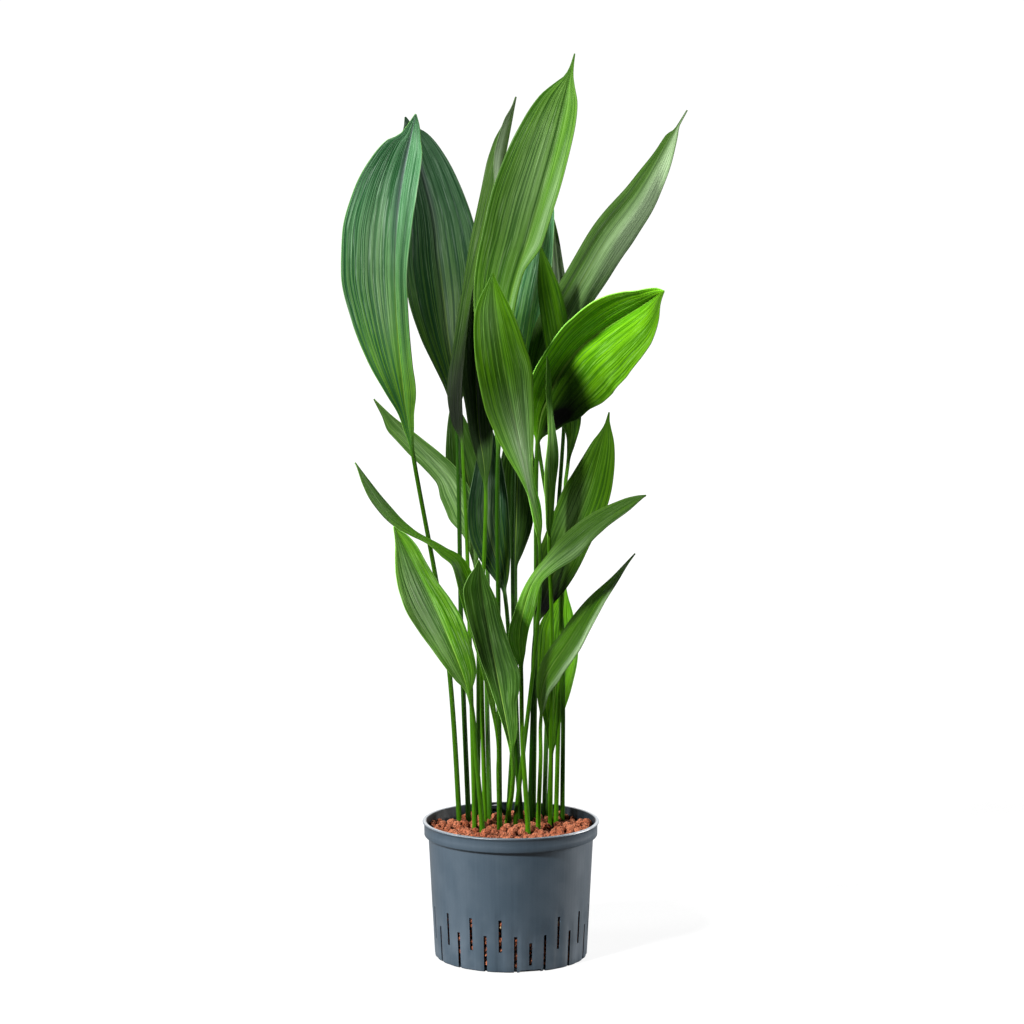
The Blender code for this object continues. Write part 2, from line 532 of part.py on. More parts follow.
def smooth_path(points, count):
    """Return evenly spaced points of the smooth curve through some points."""
    dense = []
    last = len(points) - 1
    for i in range(last):
        before, start, end, after = (points[max(i - 1, 0)], points[i], points[i + 1],
                                     points[min(i + 2, last)])
        for step in range(24):
            t = step / 24
            dense.append(0.5 * (2 * start + (end - before) * t
                                + (2 * before - 5 * start + 4 * end - after) * t ** 2
                                + (3 * start - before - 3 * end + after) * t ** 3))
    dense.append(points[-1])
    lengths = [0.0]
    for a, b in zip(dense, dense[1:]):
        lengths.append(lengths[-1] + (b - a).length)
    path, j = [], 0
    for k in range(count):
        goal = lengths[-1] * k / (count - 1)
        while j < len(dense) - 2 and lengths[j + 1] < goal:
            j += 1
        part = (goal - lengths[j]) / max(lengths[j + 1] - lengths[j], 1e-9)
        path.append(dense[j].lerp(dense[j + 1], min(part, 1.0)))
    return path


def centre_line(leaf):
    """Return the ring centres of a leaf's stalk and of its blade."""
    foot = Vector((*leaf.stalk[0], STALK_FOOT_Z))
    surface = Vector((*leaf.stalk[0], STALK_UPRIGHT_Z))
    blade_points = [Vector(point) for point in leaf.blade]
    whole = smooth_path([foot, surface, Vector(leaf.stalk[1])] + blade_points, 240)
    neck = min(range(len(whole)), key=lambda i: (whole[i] - blade_points[0]).length)
    stalk = [foot, surface] + smooth_path(whole[:neck + 1], STALK_RINGS + 1)[2:-1]
    return stalk, smooth_path(whole[neck:], BLADE_RINGS)


def along_stations(stations, share):
    """Return the half width and the fold in radians of a margin at a share of its length."""
    i = max(k for k in range(len(stations) - 1) if stations[k][0] <= share or k == 0)
    rows = stations[max(i - 1, 0):i + 3]
    slopes = [tuple((after[n] - before[n]) / (after[0] - before[0]) for n in (1, 2))
              for before, after in zip(rows, rows[1:])]
    place = i - max(i - 1, 0)
    step = stations[i + 1][0] - stations[i][0]
    u = (share - stations[i][0]) / step
    result = []
    for n in (0, 1):
        here = slopes[place][n]
        ends = []
        for other in (place - 1, place + 1):
            if other < 0 or other >= len(slopes):
                ends.append(here)
            else:
                product = here * slopes[other][n]
                ends.append(2 * product / (here + slopes[other][n]) if product > 0 else 0.0)
        start, end = stations[i][n + 1], stations[i + 1][n + 1]
        result.append(start * (1 + 2 * u) * (1 - u) ** 2 + ends[0] * step * u * (1 - u) ** 2
                      + end * u * u * (3 - 2 * u) + ends[1] * step * u * u * (u - 1))
    return result[0], math.radians(result[1])


def leaf_ring(leaf, centre, ahead, s):
    """Return the ten points round a leaf's section; s is below zero on the stalk."""
    share = max(s, 0.0)
    face = Vector(leaf.face_low).lerp(Vector(leaf.face_high), share)
    across = ahead.cross(face).normalized()
    out = across.cross(ahead).normalized()
    stalk_radius = STALK_FOOT_RADIUS + (STALK_NECK_RADIUS - STALK_FOOT_RADIUS) * min(1.0 + s, 1.0)
    flat = min(share / NECK_BLEND, 1.0)
    upper, lower = [], []
    for t in SECTION:
        half, fold = along_stations(leaf.left if t < 0 else leaf.right, share)
        half = max(half, TIP_HALF_WIDTH)
        wave = leaf.wave * math.sin(math.tau * leaf.waves * share + (0.0 if t < 0 else 2.0))
        rise = half * abs(t) * math.sin(fold) + wave * t * t * math.sin(math.pi * share)
        middle = across * (half * t * math.cos(fold)) + out * rise
        thickness = MIDRIB_THICKNESS + (MARGIN_THICKNESS - MIDRIB_THICKNESS) * min(abs(t) * 1.6, 1.0)
        normal = (out * math.cos(fold) - across * math.copysign(math.sin(fold), t)
                  if t else out)
        for side, points in ((1.0, upper), (-1.0, lower)):
            sheet = middle + normal * side * thickness / 2
            turn = side * math.radians(90.0 - 72.0 * t)
            round_point = (across * math.cos(turn) + out * math.sin(turn)) * stalk_radius
            points.append((centre + round_point.lerp(sheet, flat)) * MM)
    return upper + lower[::-1]


def make_leaf(leaf, finish):
    """Build one leaf, stalk and blade, as one closed body split into triangles."""
    stalk, blade = centre_line(leaf)
    path = stalk + blade
    shares = [k / len(stalk) - 1.0 for k in range(len(stalk))]
    shares += [k / (len(blade) - 1) for k in range(len(blade))]
    rings = []
    for i, (centre, s) in enumerate(zip(path, shares)):
        ahead = (path[min(i + 1, len(path) - 1)] - path[max(i - 1, 0)]).normalized()
        rings.append(leaf_ring(leaf, centre, ahead, s))
    bm = bmesh.new()
    rows = [[bm.verts.new(point) for point in ring] for ring in rings]
    sides = len(rows[0])
    for low, high in zip(rows, rows[1:]):
        for i in range(sides):
            j = (i + 1) % sides
            under = i >= sides // 2
            if under:
                bm.faces.new((low[i], low[j], high[i]))
                bm.faces.new((low[j], high[j], high[i]))
            else:
                bm.faces.new((low[i], low[j], high[j]))
                bm.faces.new((low[i], high[j], high[i]))
    bm.faces.new(rows[0][::-1])
    bm.faces.new(rows[-1])
    return add_object(leaf.name, mesh_from(bm, leaf.name), finish, math.radians(60))


def main():
    """Build every piece of the potted plant."""
    clear_scene()
    plastic = material("slate_plastic", (0.085, 0.115, 0.150), 0.55)
    clay = material("expanded_clay", (0.42, 0.12, 0.055), 0.95)
    root = material("rhizome_skin", (0.45, 0.33, 0.18), 0.8)
    bright = material("leaf_green", (0.07, 0.21, 0.012), 0.38)
    dark = material("leaf_dark_green", (0.012, 0.05, 0.012), 0.35)
    make_pot(plastic)
    make_granules(clay)
    make_rhizome(root)
    for leaf in LEAVES:
        shaded = "dark" in leaf.name or "back" in leaf.name or "hidden" in leaf.name
        make_leaf(leaf, dark if shaded else bright)


main()
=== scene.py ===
"""Cast iron plant (Aspidistra elatior) in a slotted culture pot, dressed for a studio picture.

Sizes are in millimetres and become metres as meshes are made; a finish reads heights and radii
in metres, as the meshes carry them. The pot stands on z = 0 with its axis on world Z, and its
front is towards -Y. Angles round the pot are in degrees from the front towards +X.
"""
import logging
import math
import random
from dataclasses import dataclass, field
from enum import Enum
from typing import Sequence

import bmesh
import bpy
import numpy as np
from bpy.types import Material, Mesh, Node, NodeSocket, NodeTree, Object
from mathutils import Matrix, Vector

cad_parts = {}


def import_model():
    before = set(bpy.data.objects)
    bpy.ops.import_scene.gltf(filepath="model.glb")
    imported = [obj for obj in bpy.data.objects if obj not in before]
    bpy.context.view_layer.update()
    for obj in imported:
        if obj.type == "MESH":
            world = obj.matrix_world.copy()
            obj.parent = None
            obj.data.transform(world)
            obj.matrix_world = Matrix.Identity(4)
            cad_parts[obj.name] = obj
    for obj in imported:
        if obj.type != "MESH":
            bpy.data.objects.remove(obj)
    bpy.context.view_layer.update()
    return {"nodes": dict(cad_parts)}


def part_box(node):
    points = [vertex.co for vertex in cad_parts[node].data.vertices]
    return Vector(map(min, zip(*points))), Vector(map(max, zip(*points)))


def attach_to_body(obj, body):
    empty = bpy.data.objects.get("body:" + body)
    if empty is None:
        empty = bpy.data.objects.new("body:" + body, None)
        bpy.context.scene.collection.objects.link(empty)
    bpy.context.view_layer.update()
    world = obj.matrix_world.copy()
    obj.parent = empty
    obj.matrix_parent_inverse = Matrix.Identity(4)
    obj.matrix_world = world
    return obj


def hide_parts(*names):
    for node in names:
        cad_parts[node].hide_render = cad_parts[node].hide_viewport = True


MM = 0.001
BODY = "root"
LOG = logging.getLogger("cast_iron_plant")

Colour = tuple[float, float, float]
Point = tuple[float, float, float]
Span = tuple[float, float]
Edge = tuple[tuple[float, float, float], ...]

WHITE = (1.0, 1.0, 1.0, 1.0)

# How finely a curve is walked between two of its points before it is spaced evenly
CURVE_STEPS = 24


# --------------------------------------------------------------------------------------------
# Mesh helpers
# --------------------------------------------------------------------------------------------

def polar(radius: float, angle: float, z: float) -> Vector:
    """Place a point round the pot's axis.

    Args:
        radius: Distance from the axis, in millimetres.
        angle: Degrees from the front towards +X.
        z: Height in millimetres.

    Returns:
        The point in millimetres.
    """
    turn = math.radians(angle)
    return Vector((radius * math.sin(turn), -radius * math.cos(turn), z))


def smooth_step(value: np.ndarray, low: float, high: float) -> np.ndarray:
    """Ramp from 0 at low to 1 at high with soft ends.

    Args:
        value: The numbers to ramp.
        low: Where the ramp starts.
        high: Where the ramp ends.

    Returns:
        Numbers from 0 to 1.
    """
    part = np.clip((value - low) / (high - low), 0.0, 1.0)
    return part * part * (3.0 - 2.0 * part)


def add_piece(name: str, mesh: Mesh, finish: Material | None,
              sharp_angle: float = 40.0) -> Object:
    """Link a mesh as a named, smooth-shaded object at the origin.

    Args:
        name: The piece's name.
        mesh: Its mesh, with its place in its points.
        finish: Its material, or None where it gets none here.
        sharp_angle: Edges that turn more than these degrees stay sharp.

    Returns:
        The new object.
    """
    piece = bpy.data.objects.new(name, mesh)
    bpy.context.scene.collection.objects.link(piece)
    if finish is not None:
        mesh.materials.clear()
        mesh.materials.append(finish)
    mesh.shade_smooth()
    mesh.set_sharp_from_angle(angle=math.radians(sharp_angle))
    return piece


def skin(name: str, rings: np.ndarray) -> Mesh:
    """Join a stack of closed rings into one closed skin with capped ends.

    Args:
        name: The mesh's name.
        rings: Points in millimetres, shaped (rings, points round, 3).

    Returns:
        The mesh in metres, with its faces outwards and its points in the order of the rings.
    """
    count, around = rings.shape[:2]
    low = np.arange((count - 1) * around).reshape(count - 1, around)
    beside = np.roll(low, -1, axis=1)
    quads = np.stack((low, beside, beside + around, low + around), axis=-1).reshape(-1, 4)
    faces = quads.tolist()
    faces.append(list(range(around))[::-1])
    faces.append(list(range((count - 1) * around, count * around)))
    mesh = bpy.data.meshes.new(name)
    mesh.from_pydata((rings.reshape(-1, 3) * MM).tolist(), [], faces)
    bm = bmesh.new()
    bm.from_mesh(mesh)
    bmesh.ops.recalc_face_normals(bm, faces=bm.faces)
    bm.to_mesh(mesh)
    bm.free()
    return mesh


def close_mesh(name: str, bm: bmesh.types.BMesh) -> Mesh:
    """Turn a bmesh into a mesh and free it.

    Args:
        name: The mesh's name.
        bm: The bmesh, which is used up.

    Returns:
        The mesh.
    """
    mesh = bpy.data.meshes.new(name)
    bm.to_mesh(mesh)
    bm.free()
    return mesh


def store(mesh: Mesh, name: str, values: np.ndarray) -> None:
    """Keep one vector for each point of a mesh, for its material to read.

    Args:
        mesh: The mesh.
        name: The attribute's name.
        values: Numbers shaped (points, 3).
    """
    attribute = mesh.attributes.new(name, "FLOAT_VECTOR", "POINT")
    attribute.data.foreach_set("vector", values.astype(np.float32).ravel())


def bake_modifiers(piece: Object) -> Mesh:
    """Turn a piece with its modifiers into a plain mesh and remove the modifiers.

    Args:
        piece: The object to evaluate.

    Returns:
        The evaluated mesh, which is also set on the object.
    """
    bpy.context.view_layer.update()
    graph = bpy.context.evaluated_depsgraph_get()
    mesh = bpy.data.meshes.new_from_object(piece.evaluated_get(graph), depsgraph=graph)
    piece.modifiers.clear()
    piece.data = mesh
    return mesh


def smooth_path(points: np.ndarray, count: int) -> np.ndarray:
    """Run one smooth curve through some points.

    Args:
        points: The points to pass through, shaped (points, 3).
        count: How many points to return.

    Returns:
        Evenly spaced points of the curve, shaped (count, 3).
    """
    steps = np.arange(CURVE_STEPS)[:, None] / CURVE_STEPS
    dense = []
    last = len(points) - 1
    for i in range(last):
        before, start, end, after = (points[max(i - 1, 0)], points[i], points[i + 1],
                                     points[min(i + 2, last)])
        dense.append(0.5 * (2 * start + (end - before) * steps
                            + (2 * before - 5 * start + 4 * end - after) * steps ** 2
                            + (3 * start - before - 3 * end + after) * steps ** 3))
    curve = np.concatenate(dense + [points[-1:]])
    lengths = np.concatenate(([0.0], np.cumsum(np.linalg.norm(np.diff(curve, axis=0), axis=1))))
    goals = np.linspace(0.0, lengths[-1], count)
    return np.stack([np.interp(goals, lengths, curve[:, axis]) for axis in range(3)], axis=1)


# --------------------------------------------------------------------------------------------
# Node helpers
# --------------------------------------------------------------------------------------------

class Graph:
    """Adds and wires the nodes of one tree."""

    def __init__(self, tree: NodeTree) -> None:
        """Keep the tree that the nodes go into."""
        self.tree = tree

    def fill(self, node: Node, inputs: dict) -> None:
        """Set or link some of a node's inputs.

        Args:
            node: The node.
            inputs: Values or output sockets for its inputs, by name or number.
        """
        for key, value in inputs.items():
            socket = node.inputs[key]
            if isinstance(value, NodeSocket):
                self.tree.links.new(value, socket)
            else:
                socket.default_value = value

    def add(self, kind: str, inputs: dict | None = None, **settings: object) -> Node:
        """Add one node.

        Args:
            kind: The node's type.
            inputs: Values or output sockets for its inputs, by name or number.
            **settings: Properties of the node.

        Returns:
            The new node.
        """
        node = self.tree.nodes.new(kind)
        for key, value in settings.items():
            setattr(node, key, value)
        self.fill(node, inputs or {})
        return node

    def math(self, operation: str, first: object, second: object = 0.0,
             clamp: bool = False) -> NodeSocket:
        """Add a Math node and return its value."""
        return self.add("ShaderNodeMath", {0: first, 1: second}, operation=operation,
                        use_clamp=clamp).outputs[0]

    def times(self, first: object, second: object) -> NodeSocket:
        """Multiply two numbers."""
        return self.math("MULTIPLY", first, second)

    def plus(self, first: object, second: object) -> NodeSocket:
        """Add two numbers."""
        return self.math("ADD", first, second)

    def ramp(self, value: object, low: float, high: float, to_low: float = 0.0,
             to_high: float = 1.0) -> NodeSocket:
        """Add a smooth Map Range node and return its result."""
        return self.add("ShaderNodeMapRange",
                        {0: value, 1: low, 2: high, 3: to_low, 4: to_high},
                        interpolation_type="SMOOTHSTEP").outputs[0]

    def between(self, share: object, low: object, high: object) -> NodeSocket:
        """Run in a straight line from low at a share of 0 to high at a share of 1."""
        return self.add("ShaderNodeMapRange", {0: share, 3: low, 4: high}).outputs[0]

    def mix(self, factor: object, first: object, second: object,
            blend: str = "MIX") -> NodeSocket:
        """Add a colour Mix node.

        Args:
            factor: Share of the second colour.
            first: The colour below.
            second: The colour above.
            blend: How the second colour is laid on.

        Returns:
            The mixed colour.
        """
        pair = [(*value, 1.0) if isinstance(value, tuple) and len(value) == 3 else value
                for value in (first, second)]
        return self.add("ShaderNodeMix", {0: factor, 6: pair[0], 7: pair[1]}, data_type="RGBA",
                        blend_type=blend).outputs[2]

    def lay(self, base: object, colour: object, mask: object, share: float) -> NodeSocket:
        """Lay a colour over another where a mask is set, at most by a share."""
        return self.mix(self.times(mask, share), base, colour)

    def grey(self, level: object) -> NodeSocket:
        """Turn a number into a grey."""
        return self.add("ShaderNodeCombineColor", {0: level, 1: level, 2: level}).outputs[0]

    def noise(self, vector: object, scale: object, detail: float = 2.0,
              roughness: float = 0.5) -> NodeSocket:
        """Add a Noise Texture and return its factor."""
        return self.add("ShaderNodeTexNoise", {"Vector": vector, "Scale": scale,
                                               "Detail": detail, "Roughness": roughness}).outputs[0]

    def vector(self, x: object, y: object, z: object) -> NodeSocket:
        """Add a Combine XYZ node and return its vector."""
        return self.add("ShaderNodeCombineXYZ", {0: x, 1: y, 2: z}).outputs[0]

    def split(self, vector: object) -> Sequence[NodeSocket]:
        """Add a Separate XYZ node and return its three numbers."""
        return self.add("ShaderNodeSeparateXYZ", {0: vector}).outputs

    def place(self) -> NodeSocket:
        """Return the object coordinates."""
        return self.add("ShaderNodeTexCoord").outputs["Object"]

    def attribute(self, name: str, output: str = "Vector") -> NodeSocket:
        """Return an attribute that the mesh carries, in a material."""
        return self.add("ShaderNodeAttribute", attribute_name=name).outputs[output]

    def carried(self, name: str) -> NodeSocket:
        """Return a vector that the points carry, in a Geometry Nodes tree."""
        return self.add("GeometryNodeInputNamedAttribute", {"Name": name},
                        data_type="FLOAT_VECTOR").outputs[0]

    def group(self, tree: NodeTree, inputs: dict) -> Sequence[NodeSocket]:
        """Place a shared node group and return its outputs."""
        return self.add("ShaderNodeGroup", inputs, node_tree=tree).outputs

    def bump(self, height: object, strength: float, distance: float) -> NodeSocket:
        """Add a Bump node and return its normal."""
        return self.add("ShaderNodeBump", {"Height": height, "Strength": strength,
                                           "Distance": distance}).outputs[0]


def new_group(name: str, inputs: dict[str, float | None],
              outputs: Sequence[str]) -> tuple[Graph, Sequence, Node]:
    """Start a shader node group.

    Args:
        name: The group's name.
        inputs: Default values by input name; None makes a vector input.
        outputs: Names of its value outputs.

    Returns:
        Its graph, the sockets of its inputs and the node that its results go into.
    """
    tree = bpy.data.node_groups.new(name, "ShaderNodeTree")
    for label, value in inputs.items():
        kind = "NodeSocketVector" if value is None else "NodeSocketFloat"
        socket = tree.interface.new_socket(label, in_out="INPUT", socket_type=kind)
        if value is not None:
            socket.default_value = value
    for label in outputs:
        tree.interface.new_socket(label, in_out="OUTPUT", socket_type="NodeSocketFloat")
    graph = Graph(tree)
    return graph, graph.add("NodeGroupInput").outputs, graph.add("NodeGroupOutput")


def new_shaper(name: str, inputs: dict[str, str]) -> tuple[Graph, Sequence, dict[str, str]]:
    """Start a Geometry Nodes tree.

    Args:
        name: The tree's name.
        inputs: Kinds of socket by input name, besides the geometry.

    Returns:
        Its graph, the sockets of its inputs and the inputs' identifiers by name.
    """
    tree = bpy.data.node_groups.new(name, "GeometryNodeTree")
    tree.interface.new_socket("Geometry", in_out="INPUT", socket_type="NodeSocketGeometry")
    keys = {label: tree.interface.new_socket(label, in_out="INPUT",
                                             socket_type=f"NodeSocket{kind}").identifier
            for label, kind in inputs.items()}
    tree.interface.new_socket("Geometry", in_out="OUTPUT", socket_type="NodeSocketGeometry")
    graph = Graph(tree)
    return graph, graph.add("NodeGroupInput").outputs, keys


def run_shaper(piece: Object, graph: Graph, last: Node,
               finish: NodeSocket, values: dict[str, object]) -> Mesh:
    """End a Geometry Nodes tree in Set Material, run it on a piece and keep the plain result.

    Args:
        piece: The object that carries the points.
        graph: The tree's graph.
        last: The node that gives the finished shape.
        finish: The socket that the material comes in by.
        values: Values for the tree's inputs, by identifier.

    Returns:
        The piece's new mesh.
    """
    dressed = graph.add("GeometryNodeSetMaterial", {"Geometry": last.outputs[0],
                                                    "Material": finish})
    graph.add("NodeGroupOutput", {0: dressed.outputs[0]})
    modifier = piece.modifiers.new(graph.tree.name, "NODES")
    modifier.node_group = graph.tree
    for key, value in values.items():
        modifier[key] = value
    return bake_modifiers(piece)


class SharedEffects:
    """Shader node groups that more than one finish uses."""

    def __init__(self) -> None:
        """Build each group once."""
        self.veins = self._veins()
        self.grain = self._grain()

    def _veins(self) -> NodeTree:
        """Build the parallel veins: broad bands, fine veins and short streaks.

        Returns:
            The group, which reads a place across and along the blade.
        """
        graph, given, out = new_group(
            "parallel_veins", {"Across": 0.0, "Along": 0.0, "Seed": 0.0, "Bands": 7.0},
            ("Bands", "Fine", "Streaks"))
        across, along, seed, bands = given[0], given[1], given[2], given[3]
        # The two halves of a blade get veins of their own
        where = graph.plus(seed, graph.times(graph.math("SIGN", across), 3.7))
        width = graph.times(graph.math("ABSOLUTE", across), bands)
        # Kind, how close it lies across and along, detail, roughness, and its contrast
        for kind, close, short, detail, rough, low, high in (
                ("Bands", 1.0, 1.6, 1.0, 0.5, 0.36, 0.62),
                ("Fine", 2.6, 2.4, 1.0, 0.5, 0.35, 0.65),
                ("Streaks", 1.4, 8.0, 3.0, 0.6, 0.50, 0.70)):
            spot = graph.vector(graph.times(width, close), graph.times(along, short), where)
            lines = graph.noise(spot, 1.0, detail, rough)
            graph.fill(out, {kind: graph.ramp(lines, low, high)})
        return graph.tree

    def _grain(self) -> NodeTree:
        """Build the fine grain: small lumps, pits and slow mottling.

        Returns:
            The group, which reads a position in metres and a size in millimetres.
        """
        graph, given, out = new_group(
            "surface_grain", {"Position": None, "Size": 1.0}, ("Lumps", "Pits", "Mottle"))
        place = given[0]
        scale = graph.math("DIVIDE", 1.0 / MM, given[1])
        cells = graph.add("ShaderNodeTexVoronoi", {"Vector": place, "Scale": scale})
        slow = graph.noise(place, graph.math("DIVIDE", scale, 9.0))
        graph.fill(out, {"Lumps": graph.noise(place, scale, 3.0, 0.6),
                         "Pits": graph.ramp(cells.outputs["Distance"], 0.1, 0.55),
                         "Mottle": graph.ramp(slow, 0.35, 0.65)})
        return graph.tree


def start_material(name: str) -> tuple[Material, Graph, Node]:
    """Start a material.

    Args:
        name: The material's name.

    Returns:
        The material, its graph and its Principled shader.
    """
    made = bpy.data.materials.new(name)
    made.use_nodes = True
    return made, Graph(made.node_tree), made.node_tree.nodes["Principled BSDF"]


# --------------------------------------------------------------------------------------------
# Finishes
# --------------------------------------------------------------------------------------------

@dataclass(frozen=True)
class LeafFinish:
    """The skin of a leaf: ribbed green upper face with painted sheen along streaks, paler under
    face, midrib, margin and stalk, and patches of painted sheen and painted shade.

    An edge is a span of shares of the half width from the midrib, and a fade is a span of shares
    of the blade's length.
    """

    name: str
    furrow: Colour
    ridge: Colour
    # Colour of the painted highlights along the streaks
    sheen: Colour
    # Colour of the painted sheen that the pale patches lay on the blade
    painted_sheen: Colour = (0.42, 0.56, 0.34)
    under: Colour = (0.14, 0.28, 0.06)
    midrib: Colour = (0.22, 0.38, 0.06)
    margin: Colour = (0.19, 0.30, 0.09)
    stalk_dark: Colour = (0.002, 0.022, 0.0006)
    stalk_light: Colour = (0.054, 0.17, 0.002)
    foot: Colour = (0.10, 0.24, 0.003)
    foot_share: float = 0.0
    spine: Colour = (0.15, 0.15, 0.20)
    spine_share: float = 0.0
    roughness: float = 0.40
    shine: float = 0.055
    line_blur: float = 0.25
    grain_size: float = 1.6
    foot_fade: Span = (0.05, 0.82)
    rib_edge: Span = (0.012, 0.05)
    rib_fade: Span = (0.15, 0.65)
    spine_edge: Span = (0.02, 0.16)
    spine_fade: Span = (0.40, 0.85)
    groove_edge: Span = (0.05, 0.12)
    rim_edge: Span = (0.97, 0.995)
    neck_fade: Span = (-0.03, 0.10)

    def build(self, effects: SharedEffects) -> Material:
        """Build the material.

        Args:
            effects: The shared node groups.

        Returns:
            The leaf material, which reads leaf_place, leaf_tone_and_painted_light and leaf_veins_and_painted_light.
        """
        made, graph, shader = start_material(self.name)
        across, along, seed = graph.split(graph.attribute("leaf_place"))
        tone_and_painted_light, stalk_tone, under = graph.split(graph.attribute("leaf_tone_and_painted_light"))
        count, painted_sheen, depth = graph.split(graph.attribute("leaf_veins_and_painted_light"))
        bands, fine, streaks = graph.group(effects.veins, {
            "Across": across, "Along": along, "Seed": seed, "Bands": count})
        lumps, _, mottle = graph.group(effects.grain, {
            "Position": graph.place(), "Size": self.grain_size})

        # Upper face: veins first, then painted sheen along the streaks, the foot, the midrib with
        # its groove, and the margin
        lines = graph.plus(graph.times(bands, 0.55), graph.times(fine, 0.45))
        lines = graph.ramp(lines, 0.5 - self.line_blur, 0.5 + self.line_blur)
        green = graph.mix(lines, self.furrow, self.ridge)
        # Painted sheen: pale streaks over the veins stand in for highlights
        green = graph.lay(green, self.sheen, streaks, 0.5)
        if self.foot_share:
            green = graph.mix(graph.ramp(along, *self.foot_fade, self.foot_share, 0.0), green,
                              graph.mix(lines, self.furrow, self.foot))
        green = graph.lay(green, self.furrow, mottle, 0.16)
        from_middle = graph.math("ABSOLUTE", across)
        rib = graph.ramp(from_middle, *self.rib_edge, 1.0, 0.0)
        low = graph.ramp(along, *self.rib_fade, 1.0, 0.12)
        green = graph.mix(graph.times(rib, graph.times(low, 0.75)), green, self.midrib)
        if self.spine_share:
            spine = graph.times(graph.ramp(from_middle, *self.spine_edge, 1.0, 0.0),
                                graph.ramp(along, *self.spine_fade, 0.0, self.spine_share))
            green = graph.mix(spine, green, self.spine)
        groove = graph.times(graph.ramp(from_middle, *self.groove_edge, 1.0, 0.0),
                             graph.math("SUBTRACT", 1.0, rib))
        green = graph.lay(green, self.furrow, groove, 0.45)
        green = graph.lay(green, self.margin, graph.ramp(from_middle, *self.rim_edge), 0.15)

        # Under face and stalk
        pale = graph.lay(self.under, self.ridge, bands, 0.6)
        pale = graph.lay(pale, self.midrib, rib, 0.8)
        blade = graph.mix(under, green, pale)
        stalk = graph.mix(stalk_tone, self.stalk_dark, self.stalk_light)
        flecks = graph.noise(graph.vector(graph.times(across, 2.0), graph.times(along, 5.0),
                                          seed), 3.0)
        stalk = graph.mix(graph.ramp(flecks, 0.4, 0.7, 0.0, 0.45), stalk, self.stalk_dark)
        on_blade = graph.ramp(along, *self.neck_fade)
        colour = graph.mix(on_blade, stalk, blade)

        # The leaf's lightness, partly its own tone and partly painted light, and its patches of
        # painted sheen and painted shade
        # Painted shade: depth, from the negative patches, darkens the blade
        level = graph.times(tone_and_painted_light, graph.math("SUBTRACT", 1.0, depth, clamp=True))
        level = graph.ramp(on_blade, 0.0, 1.0, 1.0, level)
        colour = graph.mix(1.0, colour, graph.grey(level), "MULTIPLY")
        # Painted sheen: the pale patches lay a glossy pale colour, strongest on raised veins and
        # streaks
        painted_sheen_share = graph.math("MULTIPLY", painted_sheen, graph.ramp(graph.plus(lines, streaks), 0.1, 1.5,
                                                         0.5, 1.2), clamp=True)
        rough = graph.ramp(streaks, 0.0, 1.0, self.roughness + 0.05, self.roughness - 0.07)
        height = graph.plus(graph.times(bands, 0.55),
                            graph.plus(graph.times(fine, 0.3), graph.times(lumps, 0.12)))
        graph.fill(shader, {"Base Color": graph.mix(painted_sheen_share, colour, self.painted_sheen),
                            "Roughness": graph.plus(rough, graph.times(lumps, 0.08)),
                            "Normal": graph.bump(height, 0.5, 0.0006),
                            "Specular IOR Level": self.shine})
        return made


class LeafLook(Enum):
    """The kinds of green on this plant, each with its own finish."""

    FRESH = LeafFinish("leaf_fresh", (0.026, 0.105, 0.001), (0.085, 0.24, 0.003),
                       (0.15, 0.33, 0.05), line_blur=0.4)
    GREEN = LeafFinish("leaf_green", (0.020, 0.082, 0.002), (0.075, 0.19, 0.012),
                       (0.20, 0.33, 0.12), line_blur=0.32)
    BLUE = LeafFinish("leaf_blue_green", (0.016, 0.076, 0.024), (0.072, 0.180, 0.082),
                      (0.30, 0.44, 0.32), foot_share=0.95, spine_share=0.5, roughness=0.36,
                      shine=0.05)
    DEEP = LeafFinish("leaf_deep_green", (0.006, 0.030, 0.001), (0.030, 0.085, 0.005),
                      (0.08, 0.16, 0.04), line_blur=0.7)


